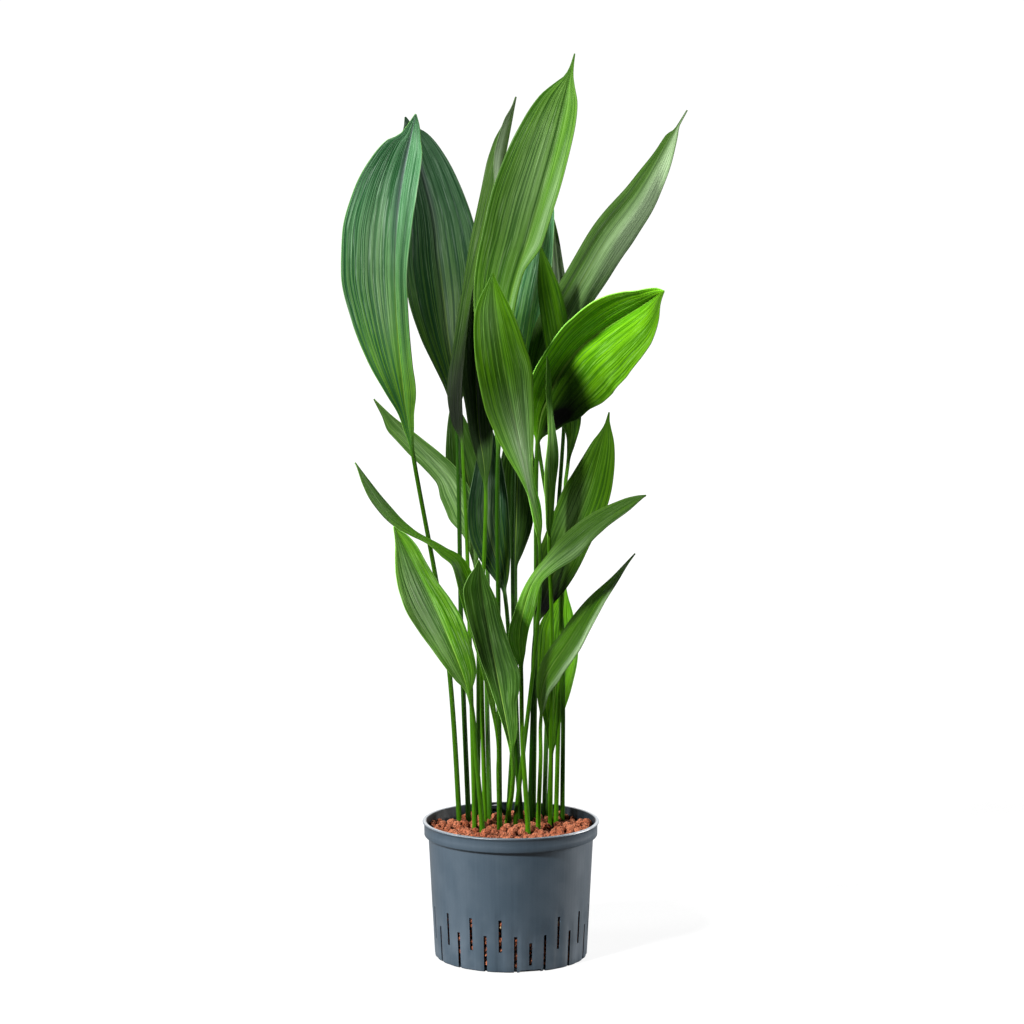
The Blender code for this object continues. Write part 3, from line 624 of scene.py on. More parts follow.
@dataclass(frozen=True)
class PlasticFinish:
    """Slate blue-grey moulded plastic with faint upright flow lines, scuffs and a fine grain; the
    lip has a painted highlight and the inner wall painted shade.
    """

    name: str
    base: Colour
    dark: Colour
    # Colour of wear at the foot and of the painted highlight on the lip
    scuff_and_lip_highlight: Colour
    # Colour of the painted shade on the inner wall
    shade: Colour
    roughness: float
    grain_size: float = 0.7
    flow_lines: float = 26.0
    cloud_scale: float = 34.0
    scuffed_foot: float = 0.055
    lip_z: Span = (0.1185, 0.1199)
    lip_radius: Span = (0.0748, 0.0765)
    inside_z: Span = (0.1060, 0.1075)
    inside_radius: Span = (0.0745, 0.0752)

    def build(self, effects: SharedEffects) -> Material:
        """Build the material.

        Args:
            effects: The shared node groups.

        Returns:
            The plastic material.
        """
        made, graph, shader = start_material(self.name)
        place = graph.place()
        x, y, z = graph.split(place)
        lumps = graph.group(effects.grain, {"Position": place, "Size": self.grain_size})[0]
        around = graph.times(graph.math("ARCTAN2", x, y), self.flow_lines)
        flow = graph.ramp(graph.noise(graph.vector(around, graph.times(z, 9.0), 0.0), 1.0, 3.0,
                                      0.6), 0.35, 0.65)
        cloud = graph.ramp(graph.noise(place, self.cloud_scale, 3.0, 0.55), 0.35, 0.7)
        radius = graph.math("SQRT", graph.plus(graph.times(x, x), graph.times(y, y)))

        colour = graph.mix(flow, self.dark, self.base)
        foot = graph.ramp(z, 0.0, self.scuffed_foot, 1.0, 0.0)
        worn = graph.times(cloud, graph.plus(graph.times(foot, 0.38), 0.12))
        colour = graph.mix(worn, colour, self.scuff_and_lip_highlight)
        # Painted highlight: the top of the lip is lighter
        lip = graph.times(graph.ramp(z, *self.lip_z), graph.ramp(radius, *self.lip_radius))
        colour = graph.lay(colour, self.scuff_and_lip_highlight, lip, 0.15)
        # Painted shade: the inner wall above the granules is darkened
        inside = graph.times(graph.ramp(z, *self.inside_z),
                             graph.ramp(radius, *self.inside_radius, 1.0, 0.0))
        colour = graph.lay(colour, self.shade, inside, 0.85)
        uneven = graph.times(graph.math("SUBTRACT", cloud, 0.5), 0.14)
        height = graph.plus(graph.times(lumps, 0.35), graph.times(flow, 0.5))
        graph.fill(shader, {"Base Color": colour,
                            "Roughness": graph.plus(self.roughness, uneven),
                            "Coat Weight": graph.math("SUBTRACT", 1.0, inside),
                            "Coat Roughness": self.roughness,
                            "Normal": graph.bump(height, 0.22, 0.0004),
                            "Specular IOR Level": 0.25})
        return made


@dataclass(frozen=True)
class ClayFinish:
    """Rough expanded clay: terracotta, paler dust, dark pores and painted shade down in the gaps.
    """

    name: str
    body: Colour
    pale: Colour
    pore_and_gap_shade: Colour
    grain_size: float = 1.5
    # Heights over which painted shade darkens the clay in the gaps
    painted_shade_from: Span = (0.095, 0.100)
    painted_shade_to: Span = (0.1055, 0.1115)

    def build(self, effects: SharedEffects) -> Material:
        """Build the material.

        Args:
            effects: The shared node groups.

        Returns:
            The clay material, which reads the attribute granule_tone.
        """
        made, graph, shader = start_material(self.name)
        place = graph.place()
        tone = graph.attribute("granule_tone", "Fac")
        lumps, pits, _ = graph.group(effects.grain, {"Position": place,
                                                     "Size": self.grain_size})
        colour = graph.mix(tone, self.body, self.pale)
        colour = graph.lay(colour, self.pale, graph.ramp(lumps, 0.50, 0.72), 0.5)
        colour = graph.lay(colour, self.pore_and_gap_shade, graph.ramp(lumps, 0.34, 0.50, 1.0, 0.0), 0.85)
        z = graph.split(place)[2]
        # Painted shade: darker down in the gaps between the granules
        painted_gap_shade = graph.times(graph.ramp(z, *self.painted_shade_from),
                           graph.ramp(z, *self.painted_shade_to, 0.9, 0.0))
        height = graph.plus(lumps, graph.times(pits, 0.4))
        graph.fill(shader, {"Base Color": graph.mix(painted_gap_shade, colour, self.pore_and_gap_shade),
                            "Normal": graph.bump(height, 1.0, 0.0030),
                            "Roughness": 0.92, "Specular IOR Level": 0.25})
        return made


@dataclass(frozen=True)
class RootFinish:
    """Pale brown skin of the rhizome and its young roots, ringed across."""

    name: str
    skin: Colour
    scar: Colour
    grain_size: float = 2.5

    def build(self, effects: SharedEffects) -> Material:
        """Build the material.

        Args:
            effects: The shared node groups.

        Returns:
            The root material.
        """
        made, graph, shader = start_material(self.name)
        lumps, pits, _ = graph.group(effects.grain, {"Position": graph.place(),
                                                     "Size": self.grain_size})
        graph.fill(shader, {"Base Color": graph.mix(pits, self.scar, self.skin),
                            "Normal": graph.bump(lumps, 0.5, 0.0006), "Roughness": 0.75})
        return made


@dataclass
class FinishSet:
    """Every material of the part, built once."""

    effects: SharedEffects = field(default_factory=SharedEffects)

    def __post_init__(self) -> None:
        """Build the materials."""
        self.leaves: dict[LeafLook, Material] = {
            look: look.value.build(self.effects) for look in LeafLook}
        self.plastic = PlasticFinish("slate_plastic", (0.031, 0.050, 0.069),
                                     (0.027, 0.045, 0.063), (0.09, 0.115, 0.14),
                                     (0.006, 0.008, 0.010), 0.40).build(self.effects)
        self.clay = ClayFinish("expanded_clay", (0.24, 0.052, 0.016), (0.66, 0.235, 0.12),
                               (0.020, 0.006, 0.004)).build(self.effects)
        # Painted shade: the fill under the granules takes the colour of clay deep in the gaps
        self.bed = ClayFinish("clay_in_shadow", (0.06, 0.018, 0.009), (0.10, 0.035, 0.02),
                              (0.004, 0.002, 0.001)).build(self.effects)
        self.root = RootFinish("young_root", (0.70, 0.56, 0.30),
                               (0.42, 0.28, 0.12)).build(self.effects)


# --------------------------------------------------------------------------------------------
# The pot
# --------------------------------------------------------------------------------------------

class SlotKind(Enum):
    """Lowest and highest point of each kind of slot, in millimetres."""

    HIGH = (18.0, 46.5)
    LOW = (-1.0, 32.0)
    SHORT = (6.0, 26.0)


@dataclass
class CulturePot:
    """One moulding: collar and lip over a tapered wall with slots, notches and gauge socket."""

    height: float
    lip_radius: float
    collar_radius: float = 76.0
    collar_depth: float = 13.0
    wall_top_radius: float = 72.4
    foot_radius: float = 67.0
    wall: float = 2.0
    slotted_wall: float = 1.1
    slotted_top: float = 58.0
    floor: float = 3.0
    sides: int = 360
    slot_count: int = 32
    slot_width: float = 2.7
    notch_angle: float = 14.7
    notch_width: float = 19.0
    notch_height: float = 2.2
    notch_inner_radius: float = 63.0
    flute_depth: float = 0.45
    floor_slot_count: int = 10
    floor_slot: Span = (26.0, 52.0)
    socket_width: float = 12.0
    socket_reach: float = 8.0
    socket_z: Span = (113.5, 118.8)
    socket_bore: float = 2.6
    bore_z: Span = (108.5, 122.5)
    foot_round: float = 1.4
    wall_rows: int = 26
    flute_edge: Span = (1.2, 4.2)
    flute_fade: Span = (1.0, 11.0)
    cut_reach: float = 14.0
    sharp_angle: float = 28.0

    @property
    def shoulder(self) -> float:
        """Height of the collar's lower edge."""
        return self.height - self.collar_depth

    def slot_angle(self, number: int) -> float:
        """Angle of a slot counted from the notch."""
        return self.notch_angle + number * 360.0 / self.slot_count

    def slot_kind(self, number: int) -> SlotKind:
        """Say which kind of slot stands at a place.

        Args:
            number: The slot's number, counted from the notch.

        Returns:
            Its kind.
        """
        if number % (self.slot_count // 2) == 0:
            return SlotKind.SHORT
        return SlotKind.LOW if number % 2 else SlotKind.HIGH

    def inner_radius(self, z: float) -> float:
        """Measure the inside of the tapered wall, which is thinner round the slots.

        Args:
            z: Height in millimetres.

        Returns:
            The inner radius.
        """
        rise = z / self.shoulder
        wall = self.slotted_wall if z <= self.slotted_top else self.wall
        return self.foot_radius + (self.wall_top_radius - self.foot_radius) * rise - wall

    def profile(self) -> tuple[list[tuple[float, float]], int, int]:
        """Draw the (radius, z) profile from the axis under the floor to the axis above it.

        Returns:
            The points, and the numbers of the first and last one that the flutes reach.
        """
        top, bend = self.wall_top_radius, self.foot_round
        points = [(0.0, 0.0), (20.0, 0.0), (self.foot_radius - 8.0, 0.0)]
        points += [(self.foot_radius - bend + bend * math.sin(turn), bend - bend * math.cos(turn))
                   for turn in (math.pi / 8 * step for step in range(5))]
        first = len(points) - 4
        for row in range(1, self.wall_rows + 1):
            z = bend + (self.shoulder - 2.6) * row / self.wall_rows
            points.append((self.foot_radius + (top - self.foot_radius) * z / self.shoulder, z))
        last = len(points) - 1
        collar = self.collar_radius
        under = self.shoulder
        points += [(top + 0.35, under - 0.6), (top + 1.0, under - 0.15), (collar - 1.0, under),
                   (collar - 0.35, under + 0.25), (collar, under + 1.0),
                   (collar + 0.05, under + 5.0), (collar + 0.1, self.height - 3.4),
                   (collar + 0.5, self.height - 2.4), (self.lip_radius - 0.25, self.height - 1.5),
                   (self.lip_radius, self.height - 0.9), (self.lip_radius - 0.2, self.height - 0.3),
                   (self.lip_radius - 0.7, self.height)]
        inner = collar - self.wall
        points += [(inner + 0.7, self.height), (inner + 0.2, self.height - 0.25),
                   (inner, self.height - 0.9), (inner, under + 2.4), (inner - 0.5, under + 1.3),
                   (self.inner_radius(under), under - 0.2),
                   (self.inner_radius(self.slotted_top + 4.0), self.slotted_top + 4.0),
                   (self.inner_radius(self.slotted_top), self.slotted_top),
                   (self.inner_radius(self.floor), self.floor), (20.0, self.floor),
                   (0.0, self.floor)]
        return points, first, last

    def flute(self, angle: np.ndarray, z: float) -> np.ndarray:
        """Depth of the shallow flutes that the slots stand in.

        Args:
            angle: Degrees from the notch.
            z: Height in millimetres.

        Returns:
            Millimetres to take off the wall.
        """
        step = 360.0 / self.slot_count
        number = np.round(angle / step).astype(int) % self.slot_count
        off = np.abs((angle + step / 2) % step - step / 2)
        tops = np.array([self.slot_kind(k).value[1] for k in range(self.slot_count)])[number]
        across = 1.0 - smooth_step(off, *self.flute_edge)
        fade = 1.0 - smooth_step(np.full_like(tops, z) - tops, *self.flute_fade)
        return self.flute_depth * across * fade

    def shell(self) -> Mesh:
        """Turn the profile about the axis with the flutes in the outer wall.

        Returns:
            The closed shell, without its openings.
        """
        points, first, last = self.profile()
        # Turned by half a side, so that no edge runs down the middle of a slot
        half_side = 180.0 / self.sides
        angles = np.arange(self.sides) * 360.0 / self.sides
        turns = np.radians(angles + self.notch_angle + half_side)
        around = np.stack((np.sin(turns), -np.cos(turns)), axis=1)
        rings = []
        for number, (radius, z) in enumerate(points[1:-1], start=1):
            fluted = first <= number <= last
            depth = self.flute(angles + half_side, z) if fluted else np.zeros(self.sides)
            ring = around * (radius - depth)[:, None]
            rings.append(np.column_stack((ring, np.full(self.sides, z))))
        return skin("pot_shell", np.array(rings))

    def slot_tool(self) -> Object:
        """Lay out the cutters of all the slots with Geometry Nodes.

        Returns:
            One object that holds every slot's cutter.
        """
        places, scales, spins = [], [], []
        for number in range(self.slot_count):
            low, high = self.slot_kind(number).value
            angle = self.slot_angle(number)
            places.append(tuple(polar(self.foot_radius + 3.0, angle, low) * MM))
            scales.append((1.0, 1.0, high - low))
            spins.append((0.0, 0.0, math.radians(angle)))
        points = bpy.data.meshes.new("slot_places")
        points.from_pydata(places, [], [])
        store(points, "slot_scale", np.array(scales))
        store(points, "slot_turn", np.array(spins))
        tool = add_piece("slot_tool", points, None)

        graph, given, keys = new_shaper("slot_ring", {
            "Slot Width": "Float", "Cut Depth": "Float", "Finish": "Material"})
        # The block stands one millimetre tall on its point and is stretched to the slot's height
        size = graph.vector(given["Slot Width"], given["Cut Depth"], MM)
        cutter = graph.add("GeometryNodeMeshCube", {"Size": size})
        raised = graph.add("GeometryNodeTransform", {"Geometry": cutter.outputs["Mesh"],
                                                     "Translation": (0.0, 0.0, MM / 2)})
        turn = graph.add("FunctionNodeEulerToRotation", {0: graph.carried("slot_turn")})
        slots = graph.add("GeometryNodeInstanceOnPoints", {
            "Points": given["Geometry"], "Instance": raised.outputs[0],
            "Rotation": turn.outputs[0], "Scale": graph.carried("slot_scale")})
        real = graph.add("GeometryNodeRealizeInstances", {"Geometry": slots.outputs[0]})
        run_shaper(tool, graph, real, given["Finish"], {
            keys["Slot Width"]: self.slot_width * MM, keys["Cut Depth"]: self.cut_reach * MM,
            keys["Finish"]: None})
        return tool

    def block(self, bm: bmesh.types.BMesh, angle: float, radii: tuple[float, float],
              width: float, heights: tuple[float, float]) -> None:
        """Add a block that lies along one radius of the pot.

        Args:
            bm: The mesh to add to.
            angle: Degrees from the front.
            radii: Its inner and outer radius.
            width: Its width.
            heights: Its lowest and highest point.
        """
        out = polar(1.0, angle, 0.0)
        side = Vector((-out.y, out.x, 0.0)) * width / 2
        corners = [[bm.verts.new((out * radius + side * sign + Vector((0, 0, z))) * MM)
                    for radius, sign in ((radii[0], -1), (radii[1], -1), (radii[1], 1),
                                         (radii[0], 1))] for z in heights]
        low, high = corners
        for i in range(4):
            j = (i + 1) % 4
            bm.faces.new((low[i], low[j], high[j], high[i]))
        bm.faces.new(low[::-1])
        bm.faces.new(high)

    def tool(self, name: str, bm: bmesh.types.BMesh) -> Object:
        """Turn a bmesh into an object that shapes the pot and is then removed.

        Args:
            name: The tool's name.
            bm: Its closed blocks, which are used up.

        Returns:
            The tool.
        """
        bmesh.ops.recalc_face_normals(bm, faces=bm.faces)
        return add_piece(name, close_mesh(name, bm), None)

    def openings(self) -> Object:
        """Make the cutter of the notches at the foot and of the slots in the floor.

        Returns:
            The cutter.
        """
        bm = bmesh.new()
        for turn in (0.0, 180.0):
            self.block(bm, self.notch_angle + turn, (self.notch_inner_radius, 80.0),
                       self.notch_width, (-1.0, self.notch_height))
        for k in range(self.floor_slot_count):
            self.block(bm, (k + 0.5) * 360.0 / self.floor_slot_count, self.floor_slot,
                       self.slot_width, (-1.0, self.floor + 1.0))
        return self.tool("foot_openings", bm)

    def socket(self) -> tuple[Object, Object]:
        """Make the gauge socket, opposite the front notch.

        Returns:
            Its bracket and the cutter of its bore.
        """
        angle = self.notch_angle + 180.0
        inner = self.collar_radius - self.wall
        low, high = self.socket_z
        bm = bmesh.new()
        # The two plates and the two ribs: turn, reach into the pot, width and heights
        for turn, reach, width, heights in (
                (0.0, self.socket_reach, self.socket_width, (low + 2.6, high)),
                (0.0, self.socket_reach - 1.5, self.socket_width - 1.0, (low - 2.2, low - 0.4)),
                (-4.2, 5.0, 1.3, (low - 2.0, high - 0.5)),
                (4.2, 5.0, 1.3, (low - 2.0, high - 0.5))):
            self.block(bm, angle + turn, (inner - reach, inner + 1.0), width, heights)
        bracket = self.tool("socket_bracket", bm)
        bm = bmesh.new()
        below, above = self.bore_z
        centre = polar(inner - self.socket_reach / 2, angle, (below + above) / 2)
        bmesh.ops.create_cone(bm, cap_ends=True, segments=28, radius1=self.socket_bore * MM,
                              radius2=self.socket_bore * MM, depth=(above - below) * MM)
        bmesh.ops.translate(bm, verts=bm.verts, vec=centre * MM)
        return bracket, self.tool("socket_bore", bm)

    def build(self, finish: Material) -> Object:
        """Build the whole pot.

        Args:
            finish: The plastic.

        Returns:
            The pot as one piece.
        """
        pot = add_piece("culture_pot", self.shell(), finish)
        bracket, bore = self.socket()
        tools = [(self.slot_tool(), "DIFFERENCE"), (self.openings(), "DIFFERENCE"),
                 (bracket, "UNION"), (bore, "DIFFERENCE")]
        for tool, operation in tools:
            modifier = pot.modifiers.new(tool.name, "BOOLEAN")
            modifier.operation = operation
            modifier.solver = "EXACT"
            modifier.use_self = operation == "UNION"
            modifier.object = tool
        mesh = bake_modifiers(pot)
        mesh.materials.clear()
        mesh.materials.append(finish)
        mesh.set_sharp_from_angle(angle=math.radians(self.sharp_angle))
        for tool, _ in tools:
            bpy.data.objects.remove(tool, do_unlink=True)
        return pot


# --------------------------------------------------------------------------------------------
# The granules
# --------------------------------------------------------------------------------------------

@dataclass
class GranuleBed:
    """Expanded clay granules: a loose heap on top and a wall of them behind the slots."""

    pot: CulturePot
    stalks: Sequence[tuple[float, float]]
    fill_top: float = 109.4
    seed: int = 11
    tries: int = 9000
    smallest: float = 2.2
    largest: float = 4.5
    band_top: float = 56.0
    band_pitch: float = 5.4
    stalk_room: float = 2.3
    shoulder_room: float = 71.0
    packing: float = 0.80
    row_share: float = 0.86
    lump_depth: float = 2.8
    lump_scale: float = 280.0
    squash: tuple[Point, Point] = ((0.82, 0.82, 0.72), (1.14, 1.14, 1.04))
    palest: float = 0.55
    root_slots: tuple[tuple[int, float], ...] = ((-2, 40.5), (2, 42.0))
    root_thickness: float = 1.15
    root_steps: int = 8
    root_sides: int = 12
    bed_sides: int = 72

    def heap(self, x: float, y: float) -> float:
        """Measure the gently uneven heap.

        Args:
            x: Place in millimetres.
            y: Place in millimetres.

        Returns:
            Height of the heap's middle there.
        """
        ripple = math.sin(x * 0.11 + 1.0) * math.cos(y * 0.09 - 0.6) + 0.6 * math.sin(
            x * 0.05 - y * 0.13)
        edge = (math.hypot(x, y) / 72.0) ** 4
        return self.fill_top - 1.2 + 1.3 * ripple + 2.2 * edge * abs(x) / 72.0

    def scatter_top(self, rng: random.Random) -> list[tuple[float, float, float, float]]:
        """Throw granules on the heap where they find room.

        Args:
            rng: The seeded source of chance.

        Returns:
            Their centres and radii.
        """
        kept = np.empty((0, 4))
        inner = self.pot.collar_radius - self.pot.wall
        for number in range(self.tries):
            # Coarse ones come first, and a third of all tries lie one layer up
            part = 1.0 - number / self.tries
            size = self.smallest + (self.largest - self.smallest) * part ** 1.5
            size *= rng.uniform(0.85, 1.08)
            away = (inner - size * 0.85) * math.sqrt(rng.random())
            turn = rng.uniform(0.0, math.tau)
            x, y = away * math.cos(turn), away * math.sin(turn)
            level = rng.choice((0.0, 0.0, 0.62))
            z = self.heap(x, y) - size * 0.35 + level * size * 1.5 + rng.uniform(-0.8, 0.8)
            # None reaches into the wall under the collar, into a stalk or far into another one
            if z - size < self.pot.shoulder + 1.5 and away > self.shoulder_room - size * 1.14:
                continue
            if any(math.hypot(x - a, y - b) < self.stalk_room + size * 0.72
                   for a, b in self.stalks):
                continue
            if len(kept):
                gaps = np.linalg.norm(kept[:, :3] - (x, y, z), axis=1)
                if np.any(gaps < (kept[:, 3] + size) * self.packing):
                    continue
            kept = np.vstack((kept, (x, y, z, size)))
        return [tuple(row) for row in kept]

    def scatter_band(self, rng: random.Random) -> list[tuple[float, float, float, float]]:
        """Lay granules behind the slotted wall, row over row.

        Args:
            rng: The seeded source of chance.

        Returns:
            Their centres and radii.
        """
        granules = []
        rows = int((self.band_top - 5.0) / (self.band_pitch * self.row_share))
        for row in range(rows):
            z = 6.2 + row * self.band_pitch * self.row_share
            radius = self.pot.inner_radius(z)
            count = int(math.tau * radius / self.band_pitch)
            for k in range(count):
                size = rng.uniform(2.1, 3.2)
                angle = (k + 0.5 * (row % 2) + rng.uniform(-0.25, 0.25)) * 360.0 / count
                centre = polar(radius - size - 0.25 - rng.uniform(0.0, 0.8), angle,
                               z + rng.uniform(-1.0, 1.0))
                granules.append((centre.x, centre.y, max(centre.z, size + 3.4), size))
        return granules

    def swell(self, piece: Object, finish: Material) -> None:
        """Put a lumpy granule on each point of a piece with Geometry Nodes.

        Args:
            piece: The object whose points carry granule_size.
            finish: The clay.
        """
        graph, given, keys = new_shaper("lumpy_granules", {
            "Lump Depth": "Float", "Lump Scale": "Float", "Seed": "Int", "Finish": "Material"})
        ball = graph.add("GeometryNodeMeshIcoSphere", {"Radius": 1.0, "Subdivisions": 2})
        turn, squash = (graph.add("FunctionNodeRandomValue",
                                  {0: least, 1: most, "Seed": given["Seed"]},
                                  data_type="FLOAT_VECTOR").outputs[0]
                        for least, most in (((0.0,) * 3, (math.tau,) * 3), self.squash))
        scale = graph.add("ShaderNodeVectorMath", {0: squash, 1: graph.carried("granule_size")},
                          operation="MULTIPLY")
        rotation = graph.add("FunctionNodeEulerToRotation", {0: turn})
        placed = graph.add("GeometryNodeInstanceOnPoints", {
            "Points": given["Geometry"], "Instance": ball.outputs["Mesh"],
            "Rotation": rotation.outputs[0], "Scale": scale.outputs[0]})
        tone = graph.add("FunctionNodeRandomValue",
                         {2: 0.0, 3: self.palest, "Seed": given["Seed"]}, data_type="FLOAT")
        toned = graph.add("GeometryNodeStoreNamedAttribute", {
            "Geometry": placed.outputs[0], "Name": "granule_tone", "Value": tone.outputs[1]},
                          data_type="FLOAT", domain="INSTANCE")
        real = graph.add("GeometryNodeRealizeInstances", {"Geometry": toned.outputs[0]})
        lumps = graph.noise(graph.add("GeometryNodeInputPosition").outputs[0],
                            given["Lump Scale"])
        push = graph.times(graph.math("SUBTRACT", lumps, 0.5), given["Lump Depth"])
        offset = graph.add("ShaderNodeVectorMath", {
            0: graph.add("GeometryNodeInputNormal").outputs[0], "Scale": push},
                           operation="SCALE")
        moved = graph.add("GeometryNodeSetPosition", {"Geometry": real.outputs[0],
                                                      "Offset": offset.outputs[0]})
        mesh = run_shaper(piece, graph, moved, given["Finish"], {
            keys["Lump Depth"]: self.lump_depth * MM, keys["Lump Scale"]: self.lump_scale,
            keys["Seed"]: self.seed, keys["Finish"]: finish})
        mesh.shade_smooth()

    def granules(self, finish: Material) -> Object:
        """Build every granule that can be seen.

        Args:
            finish: The clay.

        Returns:
            All of them as one piece.
        """
        rng = random.Random(self.seed)
        spots = self.scatter_top(rng) + self.scatter_band(rng)
        mesh = bpy.data.meshes.new("granule_places")
        mesh.from_pydata([(x * MM, y * MM, z * MM) for x, y, z, _ in spots], [], [])
        store(mesh, "granule_size", np.array([[size * MM] * 3 for *_, size in spots]))
        piece = add_piece("granules", mesh, None)
        self.swell(piece, finish)
        LOG.info("granules: %d on the heap and behind the slots", len(spots))
        return piece

    def root_tips(self, finish: Material) -> Object:
        """Build the young root tips that show in two of the slots.

        Args:
            finish: The root's skin.

        Returns:
            The tips as one piece.
        """
        bm = bmesh.new()
        lift = Vector((0.0, 0.0, 1.0))
        sides = range(self.root_sides)
        for slot, z in self.root_slots:
            angle = self.pot.slot_angle(slot)
            side = polar(1.0, angle + 90.0, 0.0)
            outer = self.pot.inner_radius(z) - 0.4
            rings = []
            for part in (step / self.root_steps for step in range(self.root_steps + 1)):
                centre = polar(outer - 7.0 * part + 1.2 * part * part, angle + 5.0 * part * part,
                               z - 5.0 * part)
                thick = self.root_thickness * math.sqrt(min(part * 4.0 + 0.04, 1.0))
                rings.append([bm.verts.new((centre + side * thick * math.cos(turn)
                                            + lift * thick * math.sin(turn)) * MM)
                              for turn in (math.tau * k / self.root_sides for k in sides)])
            for low, high in zip(rings, rings[1:]):
                for k in sides:
                    after = (k + 1) % self.root_sides
                    bm.faces.new((low[k], low[after], high[after], high[k]))
            bm.faces.new(rings[0])
            bm.faces.new(rings[-1][::-1])
        bmesh.ops.recalc_face_normals(bm, faces=bm.faces)
        return add_piece("root_tips", close_mesh("root_tips", bm), finish)

    def bed(self, finish: Material) -> Object:
        """Build the fill under the loose granules, dark with painted shade.

        Args:
            finish: The clay in painted shade, as dark as down in the gaps.

        Returns:
            The fill.
        """
        inner = self.pot.collar_radius - self.pot.wall - 1.0
        turns = [math.tau * step / self.bed_sides for step in range(self.bed_sides)]
        # The fill stands back from the slotted wall, and its top is sunk under the heap
        outline = ((self.pot.inner_radius(5.0) - 6.5, 3.6),
                   (self.pot.inner_radius(60.0) - 6.5, 60.0),
                   (self.pot.inner_radius(70.0) - 1.0, 66.0), (inner - 3.6, 104.5),
                   (inner - 30.0, 105.2), (8.0, 105.4))
        rings = np.array([[(radius * math.cos(turn), radius * math.sin(turn), z)
                           for turn in turns] for radius, z in outline])
        return add_piece("clay_bed", skin("clay_bed", rings), finish)


# --------------------------------------------------------------------------------------------
# The leaves
# --------------------------------------------------------------------------------------------

@dataclass(frozen=True)
class LeafSection:
    """What every leaf's section shares, in millimetres."""

    foot_radius: float = 2.2
    neck_radius: float = 1.6
    foot_z: float = 74.0
    upright_z: float = 114.0
    midrib: float = 1.5
    margin: float = 0.8
    neck_blend: float = 0.07
    stalk_rings: int = 26
    blade_rings: int = 84
    across: int = 57
    pleat_depth: float = 0.055
    vein_pitch: float = 1.7
    curve_points: int = 480
    upright_rings: int = 6
    side_angle: float = 86.0
    keel_width: float = 1.6
    groove_depth: float = 0.35
    keel_depth: float = 0.55
    fold_softness: float = 0.03
    rim: float = 0.3
    sharp_angle: float = 80.0


SECTION = LeafSection()


def arched(half_width: float, widest: float = 0.45, fold: float = 15.0) -> Edge:
    """Lay out the stations of a plain arched margin.

    Args:
        half_width: Its greatest distance from the midrib.
        widest: Share of the length where that lies.
        fold: Degrees by which the half is bent towards the upper face.

    Returns:
        The margin's stations.
    """
    power = math.log(0.5) / math.log(widest)
    return tuple((share, max(half_width * max(math.sin(math.pi * share ** power), 0.0)
                             ** (1.35 - 0.65 * share), 0.4), fold * min(share / 0.4, 1.0))
                 for share in (0.0, 0.06, 0.14, 0.26, 0.4, 0.54, 0.68, 0.8, 0.9, 0.96, 1.0))


def along_stations(stations: Edge, share: np.ndarray) -> tuple[np.ndarray, np.ndarray]:
    """Run a smooth curve that never overshoots through a margin's stations.

    Args:
        stations: The (share, half width, fold) stations.
        share: Shares of the length to read it at.

    Returns:
        The half widths in millimetres and the folds in radians.
    """
    knots = np.array(stations, float)
    x, y = knots[:, 0], knots[:, 1:] * (1.0, math.pi / 180.0)
    step = np.diff(x)[:, None]
    slope = np.diff(y, axis=0) / step
    tangent = np.vstack((slope[:1], slope[1:] * 0.0, slope[-1:]))
    product, total = slope[:-1] * slope[1:], slope[:-1] + slope[1:]
    tangent[1:-1] = np.where(product > 0, 2 * product / np.where(total == 0, 1.0, total), 0.0)
    i = np.clip(np.searchsorted(x, share, "right") - 1, 0, len(x) - 2)
    u = np.clip((share - x[i])[:, None] / step[i], 0.0, 1.0)
    value = (y[i] * (1 + 2 * u) * (1 - u) ** 2 + tangent[i] * step[i] * u * (1 - u) ** 2
             + y[i + 1] * u * u * (3 - 2 * u) + tangent[i + 1] * step[i] * u * u * (u - 1))
    return value[:, :1], value[:, 1:]


@dataclass(frozen=True)
class Patch:
    """A soft patch of a blade with painted sheen, or where the amount is negative painted shade."""

    along: float
    across: float
    length: float
    width: float
    amount: float

    def weigh(self, place: np.ndarray) -> np.ndarray:
        """Return the patch's amount at each (across, along, seed) place."""
        return self.amount * np.exp(-((place[:, 1] - self.along) / self.length) ** 2
                                    - ((place[:, 0] - self.across) / self.width) ** 2)


